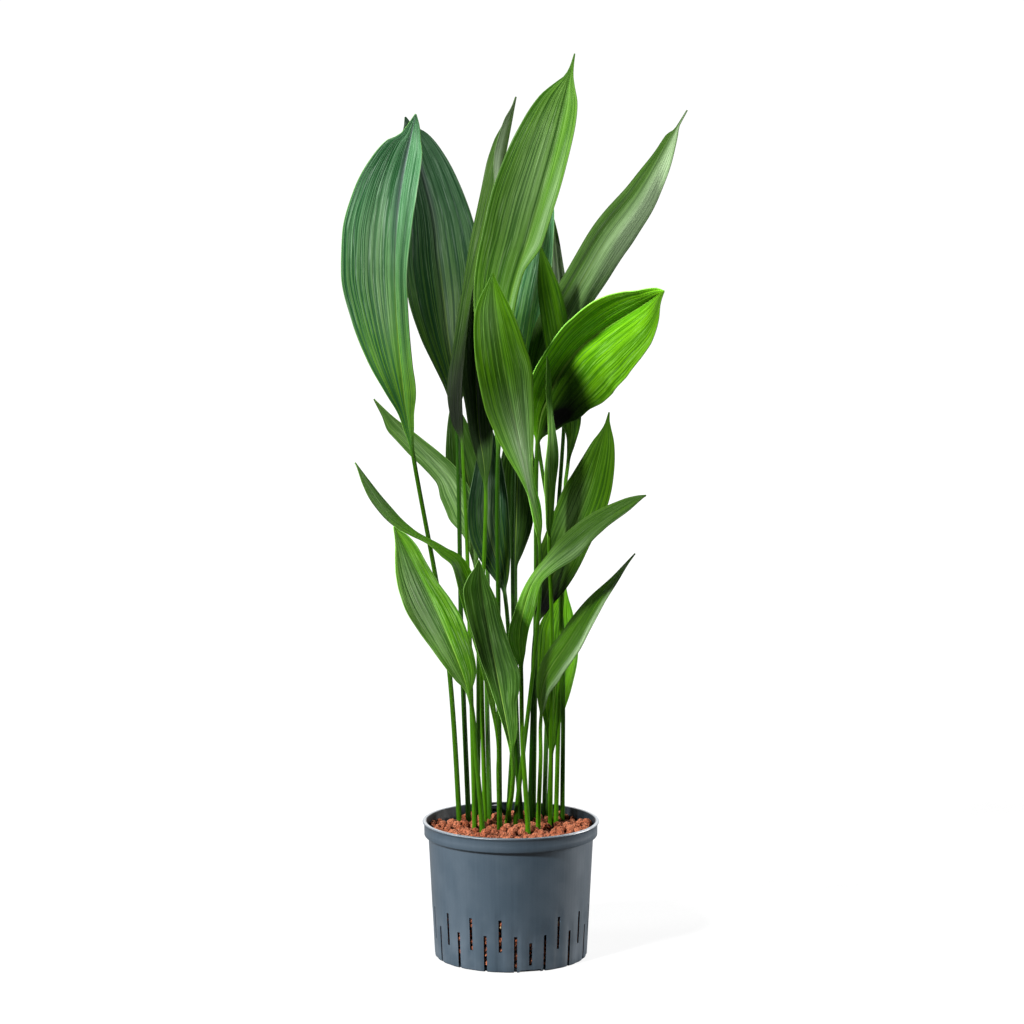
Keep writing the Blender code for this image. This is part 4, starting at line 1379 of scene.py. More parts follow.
@dataclass(frozen=True)
class Leaf:
    """One leaf: its stalk and its blade in one piece.

    The stalk is its foot in the granules and one point on the way up, and the blade's points lie
    along the midrib. Each margin is a row of stations:
    (share of the blade's length, half width, degrees by which the half is bent towards the upper
    face). face_low and face_high point the way the upper face looks at the neck and at the tip.
    """

    name: str
    stalk: tuple[Span, Point]
    blade: tuple[Point, ...]
    left: Edge
    right: Edge
    look: LeafLook = LeafLook.GREEN
    face_low: Point = (0, -1, 0)
    face_high: Point = (0, -1, 0)
    wave: float = 1.5
    waves: float = 2.0
    # Tone from neck to tip: partly the leaf's own lightness, partly painted light and shade
    tone: tuple[float, float] = (1.0, 1.0)
    stalk_tone: float = 0.5
    # Patches of painted sheen, or of painted shade where the amount is negative
    patches: tuple[Patch, ...] = ()

    def seed(self) -> float:
        """A number of the leaf's own, the same each run."""
        return sum(ord(letter) * (place + 1) for place, letter in enumerate(self.name)) % 97

    def centre_line(self) -> tuple[np.ndarray, np.ndarray]:
        """Run the leaf's centre line from its foot to its tip.

        Returns:
            The ring centres of the stalk and of the blade.
        """
        foot = (*self.stalk[0], SECTION.foot_z)
        surface = (*self.stalk[0], SECTION.upright_z)
        blade = np.array(self.blade, float)
        whole = smooth_path(np.array([foot, surface, self.stalk[1], *self.blade], float),
                            SECTION.curve_points)
        neck = int(np.argmin(np.linalg.norm(whole - blade[0], axis=1)))
        upright = np.linspace(foot, surface, SECTION.upright_rings)
        start = int(np.argmin(np.abs(whole[:neck, 2] - SECTION.upright_z)))
        rest = smooth_path(whole[start:neck + 1],
                           SECTION.stalk_rings - SECTION.upright_rings + 2)
        return np.vstack((upright, rest[1:-1])), smooth_path(whole[neck:], SECTION.blade_rings)

    def frames(self, path: np.ndarray, on: np.ndarray) -> tuple[np.ndarray, np.ndarray]:
        """Work out which way the leaf faces along its centre line.

        Args:
            path: The ring centres.
            on: Share of the blade's length at each ring, 0 along the stalk.

        Returns:
            Unit vectors across the leaf and out of its upper face.
        """
        ahead = np.gradient(path, axis=0)
        ahead /= np.linalg.norm(ahead, axis=1)[:, None]
        face = np.array(self.face_low, float) * (1 - on) + np.array(self.face_high, float) * on
        side = np.cross(ahead, face)
        side /= np.linalg.norm(side, axis=1)[:, None]
        return side, np.cross(side, ahead)

    def relief(self, on: np.ndarray, t: np.ndarray, half: np.ndarray,
               fold: np.ndarray) -> np.ndarray:
        """Shape the middle of the blade: folded halves, waved margins and pleats.

        Args:
            on: Share of the blade's length at each ring.
            t: Place across, from -1 at the left margin to 1 at the right one.
            half: Half widths in millimetres.
            fold: Folds in radians.

        Returns:
            Rise over a flat blade in millimetres.
        """
        soft = np.sqrt(t * t + SECTION.fold_softness ** 2) - SECTION.fold_softness
        away = np.abs(t)
        seed = self.seed()
        drift = np.sin(3.1 * on + seed)
        wave = self.wave * np.sin(math.tau * self.waves * on + np.where(t < 0, 0.0, 2.0))
        rise = half * soft * np.sin(fold) + wave * t * t * np.sin(np.pi * on)
        # Pleats run along the veins and die out at the midrib, the margin, the neck and the tip
        room = smooth_step(half, 3.0, 18.0) * smooth_step(away, 0.02, 0.2) * (
            1.0 - smooth_step(away, 0.82, 1.0))
        pleat = (np.sin(away * 34.0 + seed + 1.3 * drift + (t > 0) * 2.1)
                 + 0.6 * np.sin(away * 55.0 - seed * 0.7 + 0.8 * drift)
                 + 3.0 * np.sin(away * 9.0 + 2.0 * drift + (t > 0) * 1.1)) * room
        return rise + SECTION.pleat_depth * pleat

    def rings(self) -> tuple[np.ndarray, np.ndarray, np.ndarray]:
        """Lay out the leaf's rings of points, round on the stalk and flat on the blade.

        Returns:
            The rings, the place of each point (across, along, seed), and how far each point is
            on the under face.
        """
        stalk, blade = self.centre_line()
        path = np.vstack((stalk, blade))
        share = np.concatenate((np.linspace(-1.0, 0.0, len(stalk), endpoint=False),
                                np.linspace(0.0, 1.0, len(blade))))
        on = np.maximum(share, 0.0)[:, None]
        side, out = self.frames(path, on)
        radius = SECTION.foot_radius + (SECTION.neck_radius - SECTION.foot_radius) * np.minimum(
            1.0 + share, 1.0)[:, None]
        flat = smooth_step(on, 0.0, SECTION.neck_blend * 1.25)

        t = np.linspace(-1.0, 1.0, SECTION.across)[None, :]
        away = np.abs(t)
        left_half, left_fold = along_stations(self.left, on[:, 0])
        right_half, right_fold = along_stations(self.right, on[:, 0])
        half = np.where(t < 0, left_half, right_half)
        fold = np.where(t < 0, left_fold, right_fold) * smooth_step(away, 0.0, 0.10)
        rise = self.relief(on, t, half, fold)
        keel = np.exp(-(away * half / SECTION.keel_width) ** 2)
        thick = SECTION.midrib + (SECTION.margin - SECTION.midrib) * np.minimum(away * 1.6, 1.0)
        tilt = fold * np.sign(t)

        def shift(amount_side: np.ndarray, amount_out: np.ndarray) -> np.ndarray:
            """Move points sideways and outwards from the centre line."""
            return (path[:, None, :] + side[:, None, :] * amount_side[:, :, None]
                    + out[:, None, :] * amount_out[:, :, None])

        faces = []
        for sign in (1.0, -1.0):
            turn = sign * np.radians(90.0 - SECTION.side_angle * t)
            # The upper face has a groove along the midrib and the under face a keel
            lift = sign * thick / 2 - (SECTION.groove_depth if sign > 0
                                       else SECTION.keel_depth) * keel
            across = (half * t * np.cos(fold) - np.sin(tilt) * lift) * flat
            outward = (rise + np.cos(tilt) * lift) * flat
            across = across + radius * np.cos(turn) * (1 - flat)
            outward = outward + radius * np.sin(turn) * (1 - flat)
            faces.append(shift(across, outward))
        upper, lower = faces
        right = (upper[:, -1:] + lower[:, -1:]) / 2 + side[:, None, :] * SECTION.rim
        left = (upper[:, :1] + lower[:, :1]) / 2 - side[:, None, :] * SECTION.rim
        rings = np.concatenate((upper, right, lower[:, ::-1], left), axis=1)

        row = np.concatenate((t[0], [1.0], t[0][::-1], [-1.0]))
        below = np.concatenate((np.zeros(t.size), [0.5], np.ones(t.size), [0.5]))
        shape = rings.shape[:2]
        place = np.stack((np.broadcast_to(row, shape), np.broadcast_to(share[:, None], shape),
                          np.full(shape, float(self.seed()))), axis=-1)
        return rings, place.reshape(-1, 3), np.broadcast_to(below, shape).reshape(-1)

    def build(self, finish: Material) -> Object:
        """Build the leaf as one closed piece.

        Args:
            finish: Its material.

        Returns:
            The leaf.
        """
        rings, place, below = self.rings()
        mesh = skin(f"{self.name}_blade", rings)
        store(mesh, "leaf_place", place)
        along = np.clip(place[:, 1], 0.0, 1.0)
        # The tone along the blade is partly the leaf's own lightness and partly painted light and
        # shade
        tone = self.tone[0] + (self.tone[1] - self.tone[0]) * smooth_step(along, 0.1, 0.6)
        store(mesh, "leaf_tone_and_painted_light", np.stack((tone, np.full_like(tone, self.stalk_tone), below),
                                          axis=-1))
        widest = max(half for _, half, _ in self.left + self.right)
        # Positive patches are painted sheen, negative ones painted shade such as the shadow of a
        # leaf in front
        patch = sum((patch.weigh(place) for patch in self.patches), np.zeros_like(along))
        store(mesh, "leaf_veins_and_painted_light", np.stack((np.full_like(along, widest / SECTION.vein_pitch),
                                             np.maximum(patch, 0.0), np.maximum(-patch, 0.0)),
                                            axis=-1))
        return add_piece(f"{self.name}_blade", mesh, finish, SECTION.sharp_angle)


# Each leaf's tone is partly its own lightness and partly painted light and shade; its patches paint
# sheen where positive and shade, such as the shadow of a leaf in front, where negative
LEAVES = (
    Leaf("leaf_left_tall", ((-46, 35), (-57, 34, 270)),
         ((-85, 8, 441), (-95, -18, 525), (-98, -38, 605), (-93, -50, 670), (-79, -75, 733)),
         ((0, 1.5, 0), (.12, 6.5, 3), (.2, 15.5, 5), (.3, 28, 5), (.42, 39, 5), (.55, 46.5, 5),
          (.65, 46, 5), (.76, 39.5, 5), (.85, 30, 8), (.915, 19, 10), (.935, 9.5, 8), (1, .5, 0)),
         ((0, 1.5, 0), (.12, 6.5, 30), (.2, 15.5, 55), (.3, 27, 75), (.42, 38, 82),
          (.55, 45, 84), (.65, 44, 80), (.76, 38, 74), (.85, 29, 66), (.91, 21, 58),
          (.935, 11, 40), (.97, 5.5, 20), (1, .5, 0)),
         LeafLook.BLUE, (0.2, -1, 0), (0.1, -1, 0), stalk_tone=0.5, tone=(1.65, 1.6),
         patches=(Patch(0.62, -0.4, 0.15, 0.28, 0.27), Patch(0.42, -0.25, 0.1, 0.2, 0.27),
                   Patch(0.5, 0.6, 0.45, 0.4, -0.7))),
    Leaf("leaf_left_back", ((-38, 44), (-44, 56, 270)),
         ((-48, 70, 466), (-57, 84, 548), (-64, 94, 605), (-71, 102, 655), (-94, 110, 734)),
         ((0, 1.5, 0), (.1, 8.6, 5), (.18, 17, 10), (.28, 27, 15), (.4, 36, 20), (.5, 38, 20),
          (.6, 36, 20), (.7, 31.5, 20), (.8, 26.5, 20), (.88, 20, 15), (.93, 12, 10),
          (.97, 4, 5), (1, .5, 0)),
         ((0, 1.5, 0), (.1, 8.6, 5), (.18, 17, 10), (.28, 27, 15), (.4, 36, 20), (.5, 38, 22),
          (.6, 36, 24), (.7, 32, 24), (.8, 27, 22), (.88, 20.5, 18), (.93, 14, 10),
          (.97, 4, 5), (1, .5, 0)),
         LeafLook.BLUE, (0.2, -1, 0), (0.3, -1, 0), stalk_tone=0.2, tone=(0.2, 0.36),
         patches=(Patch(0.32, 0.15, 0.12, 0.25, 0.1), Patch(0.6, 0, 0.2, 0.22, 0.05))),
    Leaf("leaf_centre_back", ((-32, 8), (-38, 20, 347)),
         ((-42, 25, 441), (-44, 38, 495), (-34, 53, 571), (-14, 66, 658), (4, 75, 751)),
         ((0, 1.5, 0), (.05, 8, 4), (.1, 14, 8), (.2, 19, 12), (.33, 18, 12), (.42, 18, 12),
          (.6, 20, 12), (.72, 22, 12), (.8, 23, 12), (.87, 19, 12), (.92, 11, 10), (.96, 4, 5),
          (1, .4, 0)),
         ((0, 1.5, 0), (.05, 5, 10), (.1, 10, 16), (.2, 14, 25), (.35, 18, 27), (.5, 22, 27),
          (.62, 21, 32),
          (.74, 17, 44), (.85, 13, 72), (.93, 8, 75), (.97, 3, 60), (1, .4, 30)),
         LeafLook.GREEN, (-0.9, -0.45, 0), (-0.9, -0.5, 0), stalk_tone=0.75, tone=(0.08, 0.34),
         patches=(Patch(0.78, 0.7, 0.2, 0.35, 0.5),)),
    Leaf("leaf_centre_tall", ((-10, 25), (-11, 10, 306)),
         ((-11, -5, 442), (-2, -20, 564), (16, -30, 632), (38, -32, 712), (54, -20, 785)),
         ((0, 1.5, 0), (.1, 8, 5), (.2, 17, 10), (.37, 32, 15), (.5, 39, 15), (.62, 41, 15),
          (.73, 37.7, 15), (.82, 30.5, 15), (.88, 22, 15), (.92, 11.5, 10), (.945, 4, 8),
          (.97, 1.4, 5), (1, .35, 0)),
         ((0, 1.5, 0), (.1, 8, 30), (.2, 17, 60), (.37, 31, 82), (.47, 37, 82), (.55, 39.5, 69),
          (.65, 40, 66), (.77, 33.5, 60), (.87, 21, 50), (.92, 9, 45), (.945, 3.5, 30),
          (.97, 1.4, 10), (1, .35, 0)),
         LeafLook.GREEN, (0.1, -1, 0), (-0.2, -1, 0), stalk_tone=0.3, tone=(1.9, 0.9),
         patches=(Patch(0.33, 0.42, 0.15, 0.25, 0.3), Patch(0.58, 0.68, 0.16, 0.2, 0.32),
                  Patch(0.7, -0.3, 0.15, 0.4, 0.15), Patch(0.45, -0.4, 0.3, 0.5, 0.06))),
    Leaf("leaf_right_tall", ((46, 40), (44, 40, 308)),
         ((22, 62, 470), (36, 67, 534), (79, 75, 617), (114, 77, 665), (140, 70, 713),
          (154, 62, 739)),
         ((0, 1.5, 0), (.1, 9, 8), (.18, 20, 15), (.28, 25, 15), (.4, 22, 15), (.52, 20, 15),
          (.64, 18.5, 15), (.76, 15, 15), (.86, 9, 15), (.905, 7.5, 10), (.935, 2, 5), (1, .4, 0)),
         ((0, 1.5, 0), (.1, 9, 8), (.2, 22, 15), (.35, 38, 15), (.47, 48, 15), (.56, 49, 15),
          (.66, 41, 15), (.76, 33, 15), (.84, 27, 15), (.9, 15, 12), (.93, 8, 10), (.95, 2, 5),
          (1, .4, 0)),
         LeafLook.GREEN, (-0.65, -0.6, 0.45), (-0.65, -0.6, 0.45), stalk_tone=0.4, tone=(0.5, 0.46),
         patches=(Patch(0.35, -0.1, 0.3, 0.6, 0.08), Patch(0.75, 0.6, 0.25, 0.5, 0.6),
                  Patch(0.5, -0.55, 0.3, 0.12, -0.5))),
    Leaf("leaf_right_broad", ((20, 44), (22, 25, 311)),
         ((23, 5, 450), (34, -8, 496), (53, -22, 529), (77, -38, 551), (106, -62, 571),
          (127, -92, 587)),
         ((0, 1.5, 0), (.1, 10, 15), (.2, 19, 30), (.33, 27, 45), (.46, 29.5, 50),
          (.57, 31.5, 50), (.69, 32, 50), (.78, 29.5, 50), (.85, 24, 50), (.9, 17, 50),
          (.95, 10, 40), (.98, 5, 20), (1, .6, 0)),
         ((0, 1.5, 0), (.1, 19, 3), (.22, 34, 5), (.35, 45, 5), (.46, 47.5, 5), (.55, 46.5, 5),
          (.71, 39.5, 5), (.8, 33, 5), (.87, 26, 5), (.92, 18, 5), (.955, 8, 3), (1, .6, 0)),
         LeafLook.FRESH, (-0.1, -1, 0.1), (0.1, -1, 0.3), stalk_tone=0.45, tone=(2.8, 3.4),
         patches=(Patch(0.12, 0, 0.2, 1.4, -0.52), Patch(0.33, -0.1, 0.12, 0.5, -0.35),
                  Patch(0.6, 0.8, 3, 0.9, -0.67), Patch(0.98, 0, 0.12, 1, -0.3))),
    Leaf("leaf_edge_on", ((35, 33), (36, 8, 278)),
         ((33, -20, 370), (33, -40, 458), (31, -52, 530)),
         arched(12.5, 0.3, 10), arched(12.5, 0.3, 10),
         LeafLook.GREEN, (1, -0.4, 0), (1, -0.5, 0), stalk_tone=0.8, tone=(2.3, 1.5),
         patches=(Patch(0.5, 0, 0.4, 0.8, 0.07),)),
    Leaf("leaf_right_inner", ((40, 26), (47, 28, 390)),
         ((50, 32, 430), (53, 38, 471), (43, 42, 538), (26, 38, 621)),
         ((0, 1.5, 0), (.1, 3, 5), (.2, 8, 8), (.35, 13, 10), (.5, 13.5, 12), (.65, 13, 12),
          (.8, 11.5, 10), (.9, 7, 8), (.96, 3, 5), (1, .4, 0)),
         ((0, 1.5, 0), (.1, 5, 5), (.2, 10, 8), (.35, 13, 10), (.5, 13.5, 12), (.65, 13.5, 12),
          (.8, 11.5, 10), (.9, 7, 8), (.96, 3, 5), (1, .4, 0)),
         LeafLook.FRESH, (-0.5, -0.8, 0), (-0.5, -0.8, 0), stalk_tone=0.8, tone=(0.42, 0.42)),
    Leaf("leaf_hidden_centre", ((8, 46), (2, 58, 308)),
         ((4, 70, 458), (15, 90, 540), (26, 108, 605), (37, 118, 664)),
         arched(28), arched(15),
         LeafLook.BLUE, (0.2, -1, 0), (0.3, -1, 0), stalk_tone=0.2, tone=(2, 3.3),
         patches=(Patch(0.6, 0.2, 0.3, 0.5, 0.24),)),
    Leaf("leaf_hidden_right", ((30, 56), (36, 100, 280)),
         ((49, 114, 482), (46, 135, 570), (38, 155, 646)),
         arched(26), arched(7),
         LeafLook.GREEN, (0.4, -0.9, 0), (0.5, -0.8, 0), stalk_tone=0.3, tone=(0.5, 0.5)),
    Leaf("leaf_front", ((4, 20), (22, -10, 281)),
         ((25, -32, 364), (14, -50, 421), (-2, -72, 503), (-12, -85, 563), (-15, -88, 602)),
         ((0, 1.5, 0), (.1, 4, 5), (.2, 2.5, 8), (.28, 7, 10), (.36, 14, 10), (.45, 20.5, 10),
          (.57, 25.5, 10), (.68, 24.7, 10), (.8, 21, 10), (.87, 17.5, 10), (.92, 12, 8),
          (.96, 6, 5), (1, .4, 0)),
         ((0, 1.5, 0), (.08, 6, 5), (.16, 9, 8), (.24, 8, 10), (.42, 14, 10), (.54, 19, 10),
          (.66, 23, 10), (.75, 20, 10), (.83, 16.5, 10), (.89, 12, 8), (.95, 5.5, 5),
          (1, .4, 0)),
         LeafLook.FRESH, (0.8, -0.6, 0), (-0.1, -1, 0), stalk_tone=0.5, tone=(3.2, 0.75),
         patches=(Patch(0.3, 0.1, 0.18, 0.6, 1), Patch(0.85, -0.3, 0.1, 0.4, 0.12),
                  Patch(0.5, 0.65, 0.2, 0.25, 0.1))),
    Leaf("leaf_right_middle", ((17, 36), (19, 30, 203)),
         ((22, 15, 288), (43, 0, 350), (68, -14, 413), (84, -28, 481)),
         ((0, 1.5, 0), (.1, 8, 5), (.22, 17, 10), (.34, 21.5, 12), (.5, 22, 12), (.61, 21.5, 12),
          (.72, 17, 12), (.8, 12.5, 12), (.86, 8.5, 10), (.91, 3.8, 8), (.95, 1.2, 5),
          (1, .4, 0)),
         ((0, 1.5, 0), (.1, 8, 5), (.25, 18, 10), (.4, 23, 12), (.55, 23.5, 12), (.65, 22, 12),
          (.75, 19, 12), (.83, 15.5, 12), (.89, 11, 10), (.94, 5, 5), (.97, 2, 3), (1, .4, 0)),
         LeafLook.FRESH, (-0.5, -0.8, 0.2), (-0.3, -0.9, 0.1), stalk_tone=0.1, tone=(0, 0.4),
         patches=(Patch(0.55, -0.4, 0.12, 0.4, 0.08),)),
    Leaf("leaf_right_arching", ((15, -12), (10, -20, 195)),
         ((9, -30, 256), (7, -36, 283), (10, -44, 308), (22, -62, 343), (58, -85, 380),
          (84, -108, 403), (111, -132, 421)),
         ((0, 1.5, 0), (.06, 5, 4), (.15, 10, 8), (.24, 7.5, 10), (.36, 5.5, 12), (.46, 6.5, 12),
          (.6, 11.5, 12), (.73, 13, 12), (.88, 9, 12), (.95, 5, 8), (1, .4, 0)),
         ((0, 1.5, 0), (.07, 5, 4), (.16, 7.5, 8), (.3, 9.5, 10), (.43, 9.5, 12), (.5, 13, 12),
          (.62, 21, 12), (.75, 26, 12), (.86, 25, 12), (.94, 16, 8), (.98, 5, 4), (1, .4, 0)),
         LeafLook.GREEN, (0.3, -0.9, 0.3), (-0.5, -0.4, 0.8), stalk_tone=0.8, tone=(2.6, 0.34),
         patches=(Patch(0.45, -0.2, 0.09, 0.4, 0.1), Patch(0.62, 0.6, 0.15, 0.3, 0.08))),
    Leaf("leaf_left_low", ((-25, -10), (-30, -15, 176)),
         ((-35, -22, 230), (-53, -45, 287), (-75, -68, 340), (-98, -92, 390)),
         ((0, 1.5, 0), (.07, 3, 2), (.13, 7.5, 3), (.23, 12.5, 4), (.33, 16.5, 5), (.47, 21.5, 5),
          (.6, 24, 5), (.7, 22, 5), (.78, 18, 5), (.86, 11.5, 5), (.93, 5, 3), (1, .4, 0)),
         ((0, 1.5, 0), (.05, 4, 8), (.14, 12, 25), (.25, 18, 42), (.36, 22.5, 52), (.47, 24.5, 55),
          (.57, 22, 55), (.68, 17, 55), (.78, 15, 55), (.87, 13, 50), (.94, 8, 40), (.98, 2, 20),
          (1, .4, 0)),
         LeafLook.GREEN, (0.1, -1, 0.3), (0.1, -1, 0.3), stalk_tone=0.6, tone=(2.3, 2.8),
         patches=(Patch(0.62, -0.35, 0.25, 0.45, 0.6), Patch(0.45, -0.5, 0.4, 0.5, 0.2),
                  Patch(0.2, 0.6, 0.08, 0.25, 0.3), Patch(0.6, 0.65, 3, 0.6, -0.35))),
    Leaf("leaf_front_low", ((-3, 20), (1, 0, 146)),
         ((1, -16, 181), (-11, -45, 252), (-22, -68, 316), (-27, -80, 360)),
         ((0, 1.5, 0), (.1, 2.5, 5), (.31, 6.5, 12), (.42, 9, 15), (.52, 12, 15), (.65, 14.5, 15),
          (.78, 16.5, 15), (.87, 17, 15), (.93, 11, 10), (.97, 4, 5), (1, .4, 0)),
         ((0, 1.5, 0), (.12, 7.5, 5), (.27, 12, 12), (.34, 16.5, 15), (.43, 19.5, 15),
          (.5, 17.5, 15), (.6, 15, 15), (.7, 13, 15), (.8, 11, 15), (.89, 6, 10), (.95, 3, 5),
          (1, .4, 0)),
         LeafLook.DEEP, (0.1, -1, 0.2), (0.1, -1, 0.2), stalk_tone=0.9, tone=(4.2, 1.5),
         patches=(Patch(0.3, 0.2, 0.5, 0.8, 0.1),)),
    Leaf("leaf_right_low", ((24, 3), (26, -5, 174)),
         ((26, -10, 209), (30, -20, 248), (50, -32, 283), (73, -48, 322), (105, -65, 364)),
         ((0, 1.5, 0), (.05, 2.5, 3), (.14, 7.5, 6), (.24, 13, 10), (.36, 15, 15), (.48, 13, 15),
          (.6, 9, 15), (.72, 6, 15), (.84, 3, 10), (.93, 1.5, 5), (1, .4, 0)),
         ((0, 1.5, 0), (.07, 6, 3), (.16, 12, 6), (.28, 25, 10), (.4, 35, 15), (.53, 39, 15),
          (.64, 29, 15), (.75, 19, 15), (.86, 11, 10), (.94, 4, 5), (1, .4, 0)),
         LeafLook.FRESH, (-0.65, -0.5, 0.5), (-0.6, -0.5, 0.6), stalk_tone=0.9, tone=(0.36, 0.36),
         patches=(Patch(0.35, 0.88, 0.3, 0.18, 0.26), Patch(0.65, 0.88, 0.2, 0.2, 0.26))),
    Leaf("leaf_right_low_back", ((34, 44), (35, 50, 140)),
         ((36, 56, 165), (40, 68, 225), (44, 82, 276), (49, 92, 315)),
         ((0, 1.5, 0), (.18, 7.5, 6), (.35, 15, 10), (.54, 20.5, 12), (.7, 21, 12),
          (.82, 15.5, 10), (.92, 7, 5), (1, .4, 0)),
         ((0, 1.5, 0), (.2, 6.5, 6), (.4, 14, 10), (.6, 18, 12), (.74, 15, 12), (.85, 9.5, 10),
          (.94, 3.5, 5), (1, .4, 0)),
         LeafLook.FRESH, (0, -1, 0), (0.2, -1, 0), stalk_tone=0.3, tone=(1.2, 1.2)),
    Leaf("leaf_left_arching", ((-30, 56), (-29, 66, 223)),
         ((-31, 72, 330), (-50, 82, 400), (-85, 90, 443), (-123, 93, 483)),
         ((0, 1.5, 0), (.17, 5, 5), (.3, 15, 10), (.4, 15.5, 12), (.5, 10.5, 12), (.6, 10, 12),
          (.72, 12, 12), (.83, 13, 12), (.92, 6, 8), (1, .4, 0)),
         ((0, 1.5, 0), (.15, 8, 5), (.3, 17, 10), (.47, 19, 12), (.59, 15, 12), (.71, 9.5, 12),
          (.82, 4.5, 10), (.9, 2, 5), (1, .4, 0)),
         LeafLook.GREEN, (-0.3, -0.9, -0.2), (-0.3, -0.7, -0.5), stalk_tone=0.4, tone=(0.65, 0.65),
         patches=(Patch(0.5, 0, 0.4, 0.8, 0.17),)),
    Leaf("leaf_left_twisted", ((-10, 10), (-11, 12, 157)),
         ((-12, 10, 195), (-26, 5, 270), (-42, -2, 339), (-59, -6, 359), (-85, -10, 376),
          (-106, -16, 395), (-133, -30, 438)),
         ((0, 1.5, 0), (.2, 4, 5), (.35, 7, 8), (.48, 10, 10), (.6, 9.5, 10), (.67, 5.5, 10),
          (.74, 9, 10), (.83, 14, 10), (.9, 17, 8), (.95, 12, 5), (.985, 4, 3), (1, .4, 0)),
         ((0, 1.5, 0), (.2, 4, 5), (.35, 7, 8), (.5, 7.5, 10), (.62, 4, 10), (.7, 3.5, 10),
          (.8, 6, 10), (.88, 3.5, 8), (.95, 1.5, 5), (1, .4, 0)),
         LeafLook.FRESH, (0.4, -0.9, 0.2), (0.2, -0.4, 0.9), stalk_tone=0.5, tone=(0.75, 0.75)),
    Leaf("leaf_dark_left", ((-23, 30), (-26, 24, 273)),
         ((-22, 28, 407), (-29, 46, 468), (-31, 62, 538), (-25, 76, 617)),
         ((0, 1.5, 0), (.1, 5, 5), (.25, 9, 10), (.4, 13, 12), (.55, 20, 12), (.75, 19, 12),
          (.9, 11, 8), (1, .4, 0)),
         arched(20, fold=12),
         LeafLook.DEEP, (-0.5, -0.9, 0), (-0.6, -0.8, 0), stalk_tone=0.9, tone=(0.5, 0.5)),
    Leaf("leaf_dark_centre", ((9, 34), (1, 34, 221)),
         ((-5, 40, 312), (-20, 48, 372), (-20, 54, 424), (-20, 62, 463)),
         arched(19, fold=12), arched(19, fold=12),
         LeafLook.BLUE, (0.3, -1, 0), (0.2, -1, 0), stalk_tone=0.25, tone=(0.33, 0.33),
         patches=(Patch(0.5, 0, 0.25, 0.3, 0.14),)),
    Leaf("leaf_inner_left", ((-19, 50), (-22, 92, 231)),
         ((-22, 125, 337), (-38, 145, 399), (-53, 158, 475)),
         arched(20, fold=12), arched(20, fold=12),
         LeafLook.DEEP, (0.2, -1, 0), (0, -1, 0), stalk_tone=0.4, tone=(0.6, 0.6)),
    Leaf("leaf_inner_right", ((-2, 54), (4, 70, 225)),
         ((4, 88, 327), (6, 104, 411), (8, 120, 481)),
         arched(18, fold=12), arched(18, fold=12),
         LeafLook.DEEP, (-0.2, -1, 0), (0, -1, 0), stalk_tone=0.3, tone=(0.6, 0.6)),
)

# These stand behind the others; main works out a darker slot name for them but does not use it
SHADED_LEAVES = ("leaf_left_back", "leaf_centre_back", "leaf_hidden_centre",
                 "leaf_hidden_right", "leaf_right_low_back", "leaf_dark_left",
                 "leaf_dark_centre")


# --------------------------------------------------------------------------------------------
# The studio
# --------------------------------------------------------------------------------------------

@dataclass(frozen=True)
class SoftLight:
    """One far soft box: the way to it, how wide it looks in degrees and its strength."""

    name: str
    towards: Point
    spread: float
    strength: float
    colour: Colour = (1.0, 1.0, 1.0)

    def build(self) -> None:
        """Add the light to the scene."""
        data = bpy.data.lights.new(self.name, "SUN")
        data.angle = math.radians(self.spread)
        data.energy = self.strength
        data.color = self.colour
        light = bpy.data.objects.new(self.name, data)
        light.location = self.towards
        light.rotation_euler = Vector(self.towards).to_track_quat("Z", "Y").to_euler()
        bpy.context.scene.collection.objects.link(light)


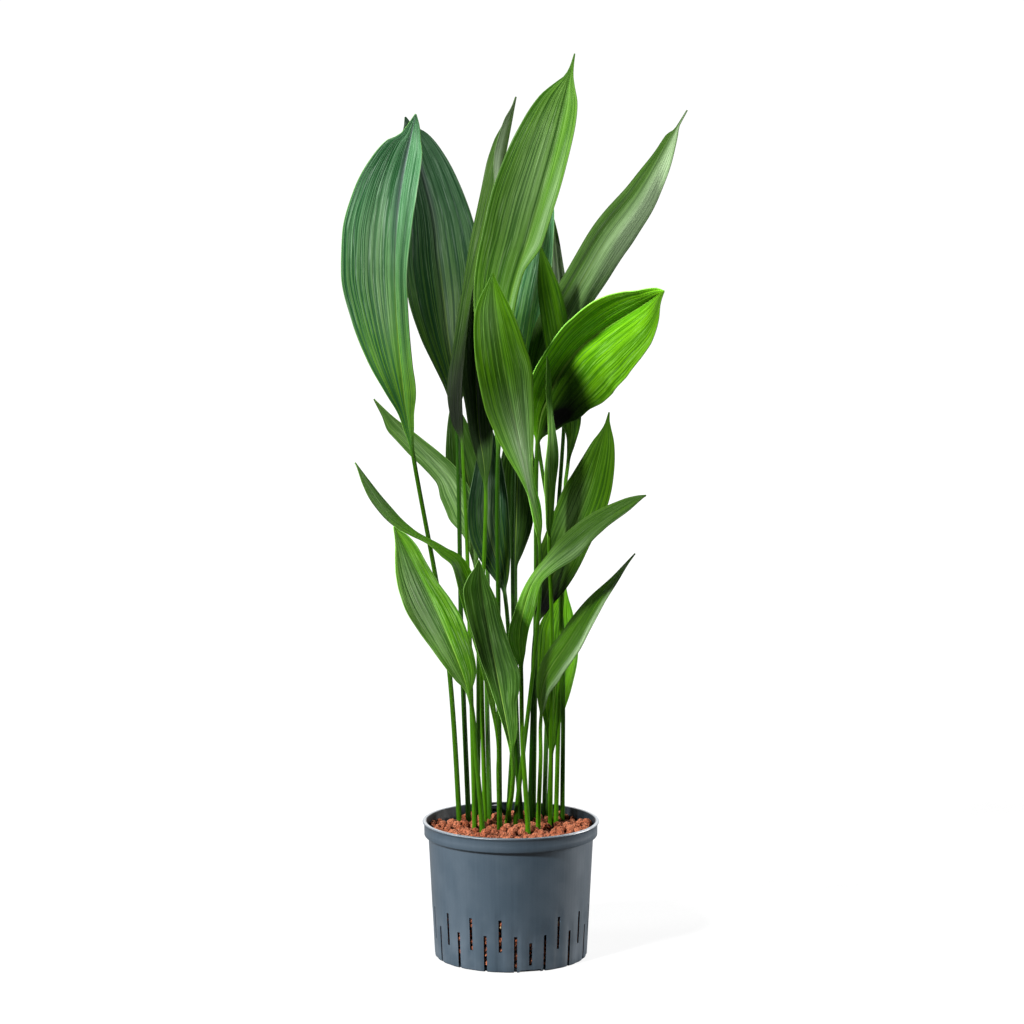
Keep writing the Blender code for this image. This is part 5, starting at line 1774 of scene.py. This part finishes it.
@dataclass
class Studio:
    """The pale floor, the soft light and the camera."""

    floor_radius: float = 9.0
    floor_albedo: float = 0.10
    floor_glow: float = 0.86
    surround: float = 0.10
    mirrored: float = 1.6
    backdrop: float = 1.05
    camera_place: Point = (0.001, -2.61, 0.689)
    camera_pitch: float = 6.494
    lens: float = 106.38
    sensor: float = 36.0
    farthest: float = 60.0
    dim_front: Span = (-0.75, 0.0)

    def lights(self) -> tuple[SoftLight, ...]:
        """List the soft boxes.

        Returns:
            The lights.
        """
        return (SoftLight("key_left", (-0.68, -0.73, 0.70), 7.0, 7.0),
                SoftLight("side_left", (-1.0, -0.17, 0.45), 25.0, 2.6),
                SoftLight("side_right", (1.0, 0.30, 0.25), 22.0, 4.2),
                SoftLight("top_back", (0.15, 0.85, 0.80), 50.0, 1.0))

    def floor(self) -> Object:
        """Build the plain floor, which glows a little so that it stays white in shade.

        Returns:
            The floor.
        """
        made, graph, shader = start_material("studio_floor")
        tint = graph.ramp(graph.noise(graph.place(), 3.0), 0.3, 0.7, self.floor_albedo - 0.004,
                          self.floor_albedo)
        seen = graph.add("ShaderNodeLightPath").outputs["Is Camera Ray"]
        graph.fill(shader, {"Base Color": graph.grey(tint), "Roughness": 0.9,
                            "Specular IOR Level": 0.1, "Emission Color": WHITE,
                            "Emission Strength": graph.times(seen, self.floor_glow)})
        bm = bmesh.new()
        bmesh.ops.create_circle(bm, cap_ends=True, segments=96, radius=self.floor_radius)
        return add_piece("studio_floor", close_mesh("studio_floor", bm), made)

    def world(self) -> None:
        """Surround the scene with soft light under a white backdrop."""
        world = bpy.data.worlds.new("studio")
        world.use_nodes = True
        graph = Graph(world.node_tree)
        background = world.node_tree.nodes["Background"]
        path = graph.add("ShaderNodeLightPath").outputs
        way = graph.split(graph.add("ShaderNodeTexCoord").outputs["Generated"])
        # Dim towards the front, so that what faces the camera keeps its depth
        sides = graph.ramp(way[1], *self.dim_front, 0.04, 1.0)
        around = graph.between(path["Is Glossy Ray"], self.surround, self.mirrored)
        strength = graph.between(path["Is Camera Ray"], graph.times(around, sides),
                                 self.backdrop)
        graph.fill(background, {"Color": WHITE, "Strength": strength})
        bpy.context.scene.world = world

    def camera(self) -> None:
        """Set up the camera."""
        data = bpy.data.cameras.new("studio_camera")
        data.lens = self.lens
        data.sensor_width = self.sensor
        data.clip_end = self.farthest
        camera = bpy.data.objects.new("studio_camera", data)
        camera.location = self.camera_place
        camera.rotation_euler = (math.radians(90.0 - self.camera_pitch), 0.0, 0.0)
        bpy.context.scene.collection.objects.link(camera)
        bpy.context.scene.camera = camera

    def build(self) -> Object:
        """Build the whole studio.

        Returns:
            Its floor.
        """
        for light in self.lights():
            light.build()
        self.world()
        self.camera()
        view = bpy.context.scene.view_settings
        view.view_transform = "Standard"
        view.look = "None"
        return self.floor()


# --------------------------------------------------------------------------------------------
# Putting it together
# --------------------------------------------------------------------------------------------


def attach(piece: Object, nodes: Sequence[str] = ()) -> None:
    """Hang a piece on the body, hide the solids that it stands for and log its faces.

    Args:
        piece: The piece.
        nodes: The solids that it replaces.
    """
    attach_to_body(piece, BODY)
    if nodes:
        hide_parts(*nodes)
    LOG.info("%s: %d faces", piece.name, len(piece.data.polygons))


def main() -> None:
    """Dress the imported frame: pot, granules, leaves and studio."""
    logging.basicConfig(level=logging.INFO, format="%(message)s")
    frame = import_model()
    finishes = FinishSet()

    low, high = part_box("pot")
    pot = CulturePot(height=(high[2] - low[2]) / MM, lip_radius=(high[0] - low[0]) / 2 / MM)
    attach(pot.build(finishes.plastic), ["pot"])
    bed = GranuleBed(pot, [leaf.stalk[0] for leaf in LEAVES])
    attach(bed.granules(finishes.clay), ["clay_granules"])
    attach(bed.bed(finishes.bed))
    attach(bed.root_tips(finishes.root))
    for slot in frame["nodes"]["rhizome"].material_slots:
        slot.material = finishes.root
    for leaf in LEAVES:
        slot = "leaf_dark" if leaf.name in SHADED_LEAVES else "leaf_bright"
        attach(leaf.build(finishes.leaves[leaf.look]), [leaf.name])
    Studio().build()


if __name__ == "__main__":
    main()
